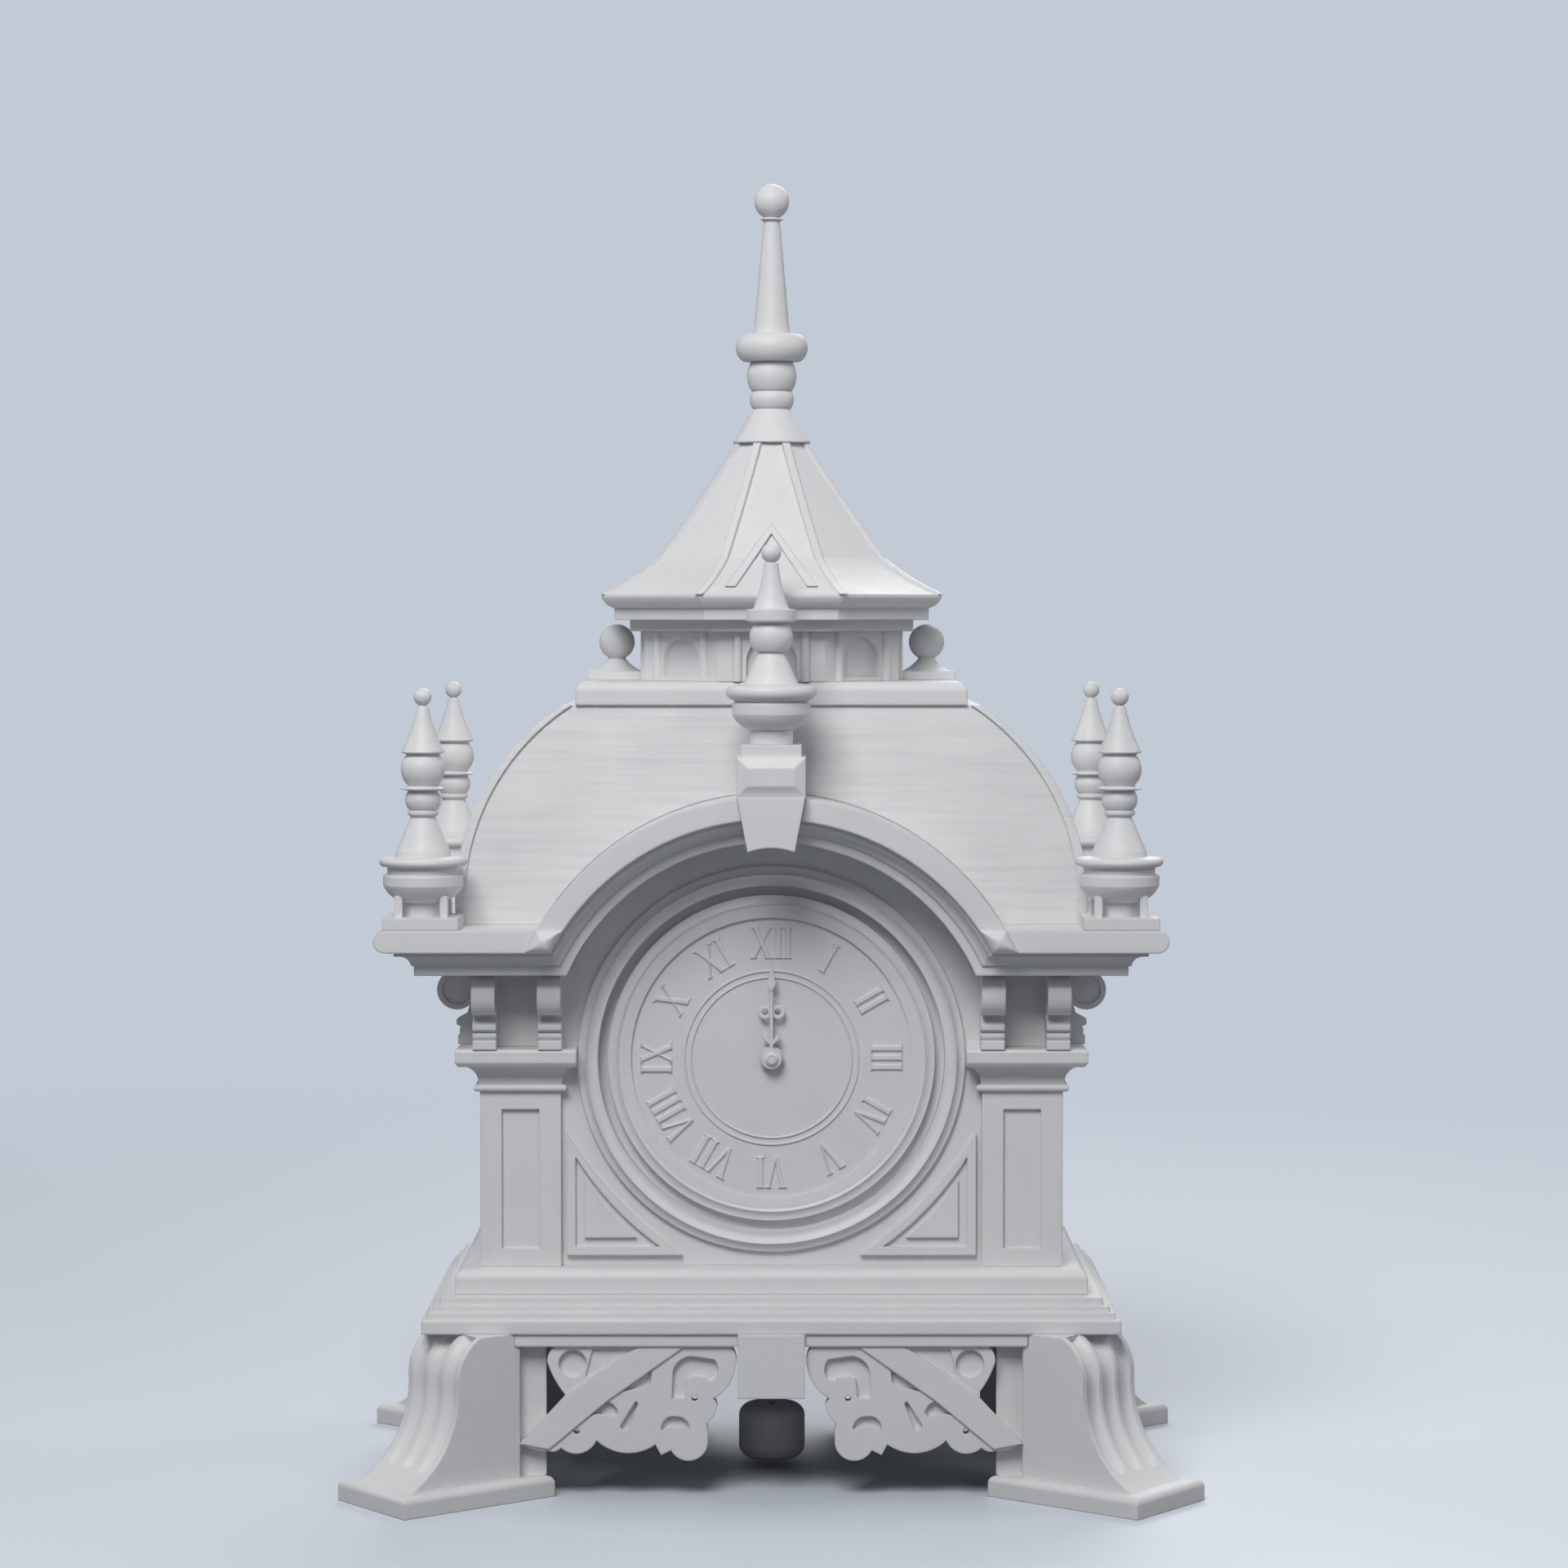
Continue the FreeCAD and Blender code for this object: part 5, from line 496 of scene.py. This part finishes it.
@dataclass
class Dial:
    """Raised hour figures and the double line of the chapter ring."""

    centre_z: float = DIAL_CENTRE_Z
    face_y: float = -47.0 * MM
    figure_inner: float = 38.0 * MM
    figure_outer: float = 50.4 * MM
    stem: float = 2.3 * MM
    hair: float = 1.25 * MM
    serif: float = 1.1 * MM
    serif_reach: float = 0.75 * MM
    serif_top_share: float = 0.25
    foot_share: float = 0.5
    foot_stem_share: float = 0.3
    foot_hair_share: float = 0.6
    height: float = 0.85 * MM
    edge: float = 0.42 * MM
    lift_step: float = 0.011
    gap: float = 1.35 * MM
    ring_height: float = 0.55 * MM
    ring_edge: float = 0.22 * MM
    ring_segments: int = 180
    rings: tuple[Vec2, ...] = ((30.4 * MM, 31.3 * MM), (32.9 * MM, 33.9 * MM))
    hours: tuple[str, ...] = ("XII", "I", "II", "III", "IV", "V", "VI", "VII", "VIII", "IX",
                              "X", "XI")
    widths: dict[Stroke, float] = field(default_factory=lambda: {
        Stroke.ONE: 2.3 * MM, Stroke.FIVE: 7.2 * MM, Stroke.TEN: 7.6 * MM})

    def letter(self, stroke: Stroke) -> list[np.ndarray]:
        """Draw one letter, standing on z = 0 from x = 0 to its width.

        Its strokes are slanted bars, thick or thin, and each free end has a serif: a low foot
        that reaches past the bar and narrows away from the end.

        Args:
            stroke: The letter.

        Returns:
            Its outlines.
        """
        tall = self.figure_outer - self.figure_inner
        wide = self.widths[stroke]
        thick = self.stem
        hair = self.hair
        left_end, right_end = (0.0, thick), (wide - hair, wide)
        if stroke is Stroke.ONE:
            bars = [[(0.0, 0.0), (thick, 0.0), (thick, tall), (0.0, tall)]]
            ends = [(*left_end, 0.0), (*left_end, tall)]
        elif stroke is Stroke.FIVE:
            foot = [(wide * self.foot_share - thick * self.foot_stem_share, 0.0),
                    (wide * self.foot_share + hair * self.foot_hair_share, 0.0)]
            bars = [foot + [(thick, tall), (0.0, tall)],
                    foot + [(wide, tall), (wide - hair, tall)]]
            ends = [(*left_end, tall), (*right_end, tall)]
        else:
            bars = [[(wide - thick, 0.0), (wide, 0.0), (thick, tall), (0.0, tall)],
                    [(0.0, 0.0), (hair, 0.0), (wide, tall), (wide - hair, tall)]]
            ends = [(0.0, hair, 0.0), (wide - thick, wide, 0.0), (*left_end, tall),
                    (*right_end, tall)]
        outlines = [np.array(bar) for bar in bars]
        top_reach = self.serif_reach * self.serif_top_share
        for left, right, level in ends:
            inward = level + (self.serif if level == 0.0 else -self.serif)
            outlines.append(np.array([(left - self.serif_reach, level),
                                      (right + self.serif_reach, level),
                                      (right + top_reach, inward), (left - top_reach, inward)]))
        return outlines

    def figure(self, text: str, hour: int) -> Iterator[np.ndarray]:
        """Draw one hour figure, turned to its place with its feet towards the centre.

        Args:
            text: Its letters.
            hour: Hours clockwise from the top of the dial.

        Yields:
            Its outlines.
        """
        strokes = [Stroke(letter) for letter in text]
        total = sum(self.widths[stroke] for stroke in strokes) + self.gap * (len(strokes) - 1)
        cursor = -total / 2
        angle = -hour * FULL_TURN / HOURS_ROUND
        cosine, sine = math.cos(angle), math.sin(angle)
        turn = np.array([[cosine, sine], [-sine, cosine]])
        for stroke in strokes:
            for outline in self.letter(stroke):
                placed = outline + np.array([cursor, self.figure_inner])
                yield placed @ turn + np.array([0.0, self.centre_z])
            cursor += self.widths[stroke] + self.gap

    def build(self, paint: bpy.types.Material) -> None:
        """Make the figures and rings.

        Each outline of a figure is a little lower than the one before, so that no two tops lie
        in one plane where they cross.

        Args:
            paint: Material of the dial.
        """
        figures = Relief("dial_figures", self.face_y, self.height, self.edge)
        for hour, text in enumerate(self.hours):
            for place, outline in enumerate(self.figure(text, hour)):
                figures.add(outline, 1.0 - self.lift_step * place)
        rings = Relief("chapter_rings", self.face_y, self.ring_height, self.ring_edge)
        for inner, outer in self.rings:
            rings.ring((0.0, self.centre_z), inner, outer, self.ring_segments)
        for relief in (figures, rings):
            piece = relief.build()
            dress(piece, paint)
            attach(piece, "case")
            LOG.info("piece %s", piece.name)


@dataclass
class Hand:
    """One painted hand at twelve: hub, stem, two leaves, pierced lobes and a long point."""

    node: str
    body: str
    y_back: float
    hub: float
    stem: float
    length: float
    leaves_at: float
    lobes_at: float | None
    point_from: float
    point_half: float
    thick: float = 0.7 * MM
    edge: float = 0.16 * MM
    lobe: float = 2.75 * MM
    lobe_hole: float = 1.15 * MM
    lobe_apart: float = 2.45 * MM
    lobe_segments: int = 40
    leaf_reach: float = 3.6 * MM
    leaf_half: float = 0.95 * MM
    leaf_far_share: float = 0.75
    leaf_near_share: float = 0.45
    foot_share: float = 1.25
    belly_share: float = 0.3
    hub_corners: int = 48
    stem_lift: float = 0.96
    leaf_lift: float = 0.92
    point_lift: float = 0.94

    def placed(self, corners: Sequence[Vec2] | np.ndarray) -> np.ndarray:
        """Place an outline that is measured from the dial's centre.

        Args:
            corners: Its corners (x, z).

        Returns:
            One row for each corner.
        """
        return np.array(corners) + np.array([0.0, DIAL_CENTRE_Z])

    def leaf(self, side: int) -> np.ndarray:
        """Draw one small leaf that springs from the stem outwards and upwards.

        Args:
            side: 1 on the right, -1 on the left.

        Returns:
            Its outline.
        """
        low = self.leaves_at
        reach = self.leaf_reach
        far = reach * self.leaf_far_share
        near = reach * self.leaf_near_share
        return self.placed([(0.0, low - self.leaf_half), (side * far, low + near),
                            (side * reach, low + reach), (side * near, low + far),
                            (0.0, low + self.leaf_half)])

    def build(self, paint: bpy.types.Material) -> None:
        """Make the hand in place of the plain one.

        The parts of the hand reach slightly different heights, so that no two tops lie in one
        plane where they cross.

        Args:
            paint: Material of the dial.
        """
        plate = Relief(self.node + "_pierced", self.y_back, self.thick, self.edge, closed=True)
        half = self.stem / 2
        foot = half * self.foot_share
        belly = self.point_from + (self.length - self.point_from) * self.belly_share
        plate.add(self.placed(np.column_stack(circle(self.hub, self.hub_corners))))
        plate.add(self.placed([(-foot, 0.0), (foot, 0.0), (half, self.point_from),
                               (-half, self.point_from)]), self.stem_lift)
        for side in (-1, 1):
            plate.add(self.leaf(side), self.leaf_lift)
        plate.add(self.placed([(0.0, self.point_from), (self.point_half, belly),
                               (0.0, self.length), (-self.point_half, belly)]), self.point_lift)
        if self.lobes_at is not None:
            for side in (-1, 1):
                plate.ring((side * self.lobe_apart, DIAL_CENTRE_Z + self.lobes_at),
                           self.lobe_hole, self.lobe, self.lobe_segments)
        made = plate.build()
        dress(made, paint)
        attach(made, self.body)
        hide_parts(self.node)
        LOG.info("piece %s", made.name)


HANDS = (
    Hand("hour_hand", "hour", y_back=-49.6 * MM, hub=4.6 * MM, stem=1.7 * MM, length=24.5 * MM,
         leaves_at=6.0 * MM, lobes_at=17.8 * MM, point_from=18.5 * MM, point_half=1.7 * MM),
    Hand("minute_hand", "minute", y_back=-51.2 * MM, hub=4.0 * MM, stem=1.2 * MM,
         length=36.3 * MM, leaves_at=5.6 * MM, lobes_at=None, point_from=25.5 * MM,
         point_half=1.8 * MM),
)


@dataclass
class CaseDress:
    """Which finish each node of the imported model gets."""

    level: tuple[str, ...] = ("plinth", "base_moulding", "cornice", "roof_platform",
                              "apron_rails")
    upright: tuple[str, ...] = ("front_wall", "side_wall_left", "side_wall_right", "rear_wall",
                                "back_door", "pilaster_front_left", "pilaster_front_right",
                                "pilaster_rear_left", "pilaster_rear_right")
    dial: tuple[str, ...] = ("dial_plate", "bezel", "hour_hand", "minute_hand", "hand_nut",
                             "pendulum_bob")

    def finish_of(self, node: str, slot: str) -> Finish:
        """Choose the finish of a node.

        Args:
            node: Name of the node.
            slot: Name of its material slot.

        Returns:
            Its finish: by its own name, by its group, or else by its slot.
        """
        own = {"dome": DOME_PAINT, "mainspring": BLUED, "centre_arbor": ARBOR}
        if node in own:
            return own[node]
        groups = ((self.level, LEVEL_PAINT), (self.upright, UPRIGHT_PAINT),
                  (self.dial, DIAL_PAINT))
        for names, finish in groups:
            if node in names:
                return finish
        return {"brass": BRASS, "steel": STEEL}.get(slot, PAINT)

    def apply(self, frame: dict, materials: dict[str, bpy.types.Material]) -> None:
        """Give every node its finish.

        Args:
            frame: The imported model, with its record and its objects by node.
            materials: The materials, by the names of their finishes.
        """
        slots = {entry["node"]: entry["material_slot"] for entry in frame["record"]["subparts"]}
        for name, item in frame["nodes"].items():
            dress(item, materials[self.finish_of(name, slots[name]).name])
            LOG.info("node %s", name)


@dataclass(frozen=True)
class Lamp:
    """One soft square lamp that faces a point."""

    name: str
    place: Vec3
    target: Vec3
    size: float
    power: float

    def turn(self) -> Vec3:
        """Work out the turn that points -Z at the target.

        Returns:
            Angles about X, Y and Z: a quarter turn plus the slope, none, and the bearing less a
            quarter turn.
        """
        x, y, z = np.array(self.target) - np.array(self.place)
        slope = math.atan2(z, math.hypot(x, y))
        return (math.pi / 2 + slope, 0.0, math.atan2(y, x) - math.pi / 2)

    def build(self) -> None:
        """Hang the lamp."""
        data = bpy.data.lights.new(self.name, "AREA")
        data.shape = "SQUARE"
        data.size = self.size
        data.energy = self.power
        made = bpy.data.objects.new(self.name, data)
        bpy.context.scene.collection.objects.link(made)
        made.location = self.place
        made.rotation_euler = self.turn()


LAMPS = (
    Lamp("key", (-0.28, -1.1, 1.25), (0.0, 0.0, 0.24), size=0.7, power=16.5),
    Lamp("fill", (1.3, -1.3, 1.0), (0.0, 0.0, 0.25), size=1.0, power=2.5),
    Lamp("top", (-0.1, -0.3, 1.9), (0.0, 0.0, 0.25), size=1.2, power=1.0),
    Lamp("rear", (0.3, 1.6, 1.4), (0.0, 0.0, 0.25), size=1.0, power=16.0),
    Lamp("right", (1.7, 0.5, 1.2), (0.0, 0.0, 0.25), size=1.0, power=7.0),
    Lamp("left", (-1.7, 0.6, 1.2), (0.0, 0.0, 0.25), size=1.0, power=6.0),
)


@dataclass
class Studio:
    """Floor, background, lamps and camera.

    The floor and the background have one tone to the eye and another for the light that they
    throw on the clock. The floor fades into the background with its distance from the clock.
    """

    floor_seen: Vec3 = (0.66, 0.71, 0.78)
    floor_shade: Vec3 = (0.20, 0.21, 0.23)
    floor_size: float = 6.0
    floor_fade: Vec2 = (0.5, 1.5)
    floor_roughness: float = 0.5
    floor_spread: float = 0.08
    floor_mottle_scale: float = 6.0
    backdrop_colour: Vec3 = (0.54, 0.59, 0.67)
    world_colour: Vec3 = (0.80, 0.84, 0.90)
    world_strength: float = 0.20
    camera_at: Vec3 = (0.0048, -1.6407, 0.3367)
    camera_pitch: float = math.radians(2.38)
    focal_pixels: float = 5100.0
    frame_pixels: float = 1920.0
    sensor_mm: float = 36.0

    def floor(self) -> None:
        """Make the pale floor."""
        half = self.floor_size / 2
        corners = np.array([(-half, -half, 0.0), (half, -half, 0.0), (half, half, 0.0),
                            (-half, half, 0.0)])
        made = make_object("floor", corners, [[0, 1, 2, 3]])
        material, shader, place = start_material("floor_finish")
        seen = Wire.source(material.node_tree, "LightPath", "Is Camera Ray")
        mix_colours(seen, self.floor_shade, self.floor_seen).feed(shader.inputs["Base Color"])
        rough = place.noise(self.floor_mottle_scale) * self.floor_spread + self.floor_roughness
        rough.feed(shader.inputs["Roughness"])
        reach = place.node("VectorMath", {0: place}, "Value", operation="LENGTH")
        (1.0 - reach.smooth(*self.floor_fade)).feed(shader.inputs["Alpha"])
        dress(made, material)

    def world(self) -> None:
        """Light the scene softly from all round."""
        world = bpy.data.worlds.new("studio")
        bpy.context.scene.world = world
        world.use_nodes = True
        tree = world.node_tree
        background = tree.nodes["Background"]
        seen = Wire.source(tree, "LightPath", "Is Camera Ray")
        lit = tuple(channel * self.world_strength for channel in self.world_colour)
        mix_colours(seen, lit, self.backdrop_colour).feed(background.inputs["Color"])
        background.inputs["Strength"].default_value = 1.0

    def camera(self) -> None:
        """Set the camera that matches the photograph."""
        data = bpy.data.cameras.new("camera")
        data.sensor_width = self.sensor_mm
        data.lens = self.focal_pixels / self.frame_pixels * self.sensor_mm
        made = bpy.data.objects.new("camera", data)
        bpy.context.scene.collection.objects.link(made)
        made.location = self.camera_at
        made.rotation_euler = (math.pi / 2 - self.camera_pitch, 0.0, 0.0)
        bpy.context.scene.camera = made

    def build(self) -> None:
        """Set up everything round the clock."""
        self.floor()
        self.world()
        for lamp in LAMPS:
            lamp.build()
        self.camera()
        bpy.context.scene.view_settings.view_transform = "Standard"


def main() -> None:
    """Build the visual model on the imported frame."""
    logging.basicConfig(level=logging.INFO, format="%(name)s: %(message)s")
    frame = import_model()
    materials = {finish.name: finish.build() for finish in FINISHES}
    CaseDress().apply(frame, materials)
    Dial().build(materials[DIAL_PAINT.name])
    for hand in HANDS:
        hand.build(materials[DIAL_PAINT.name])
    Studio().build()


if __name__ == "__main__":
    main()
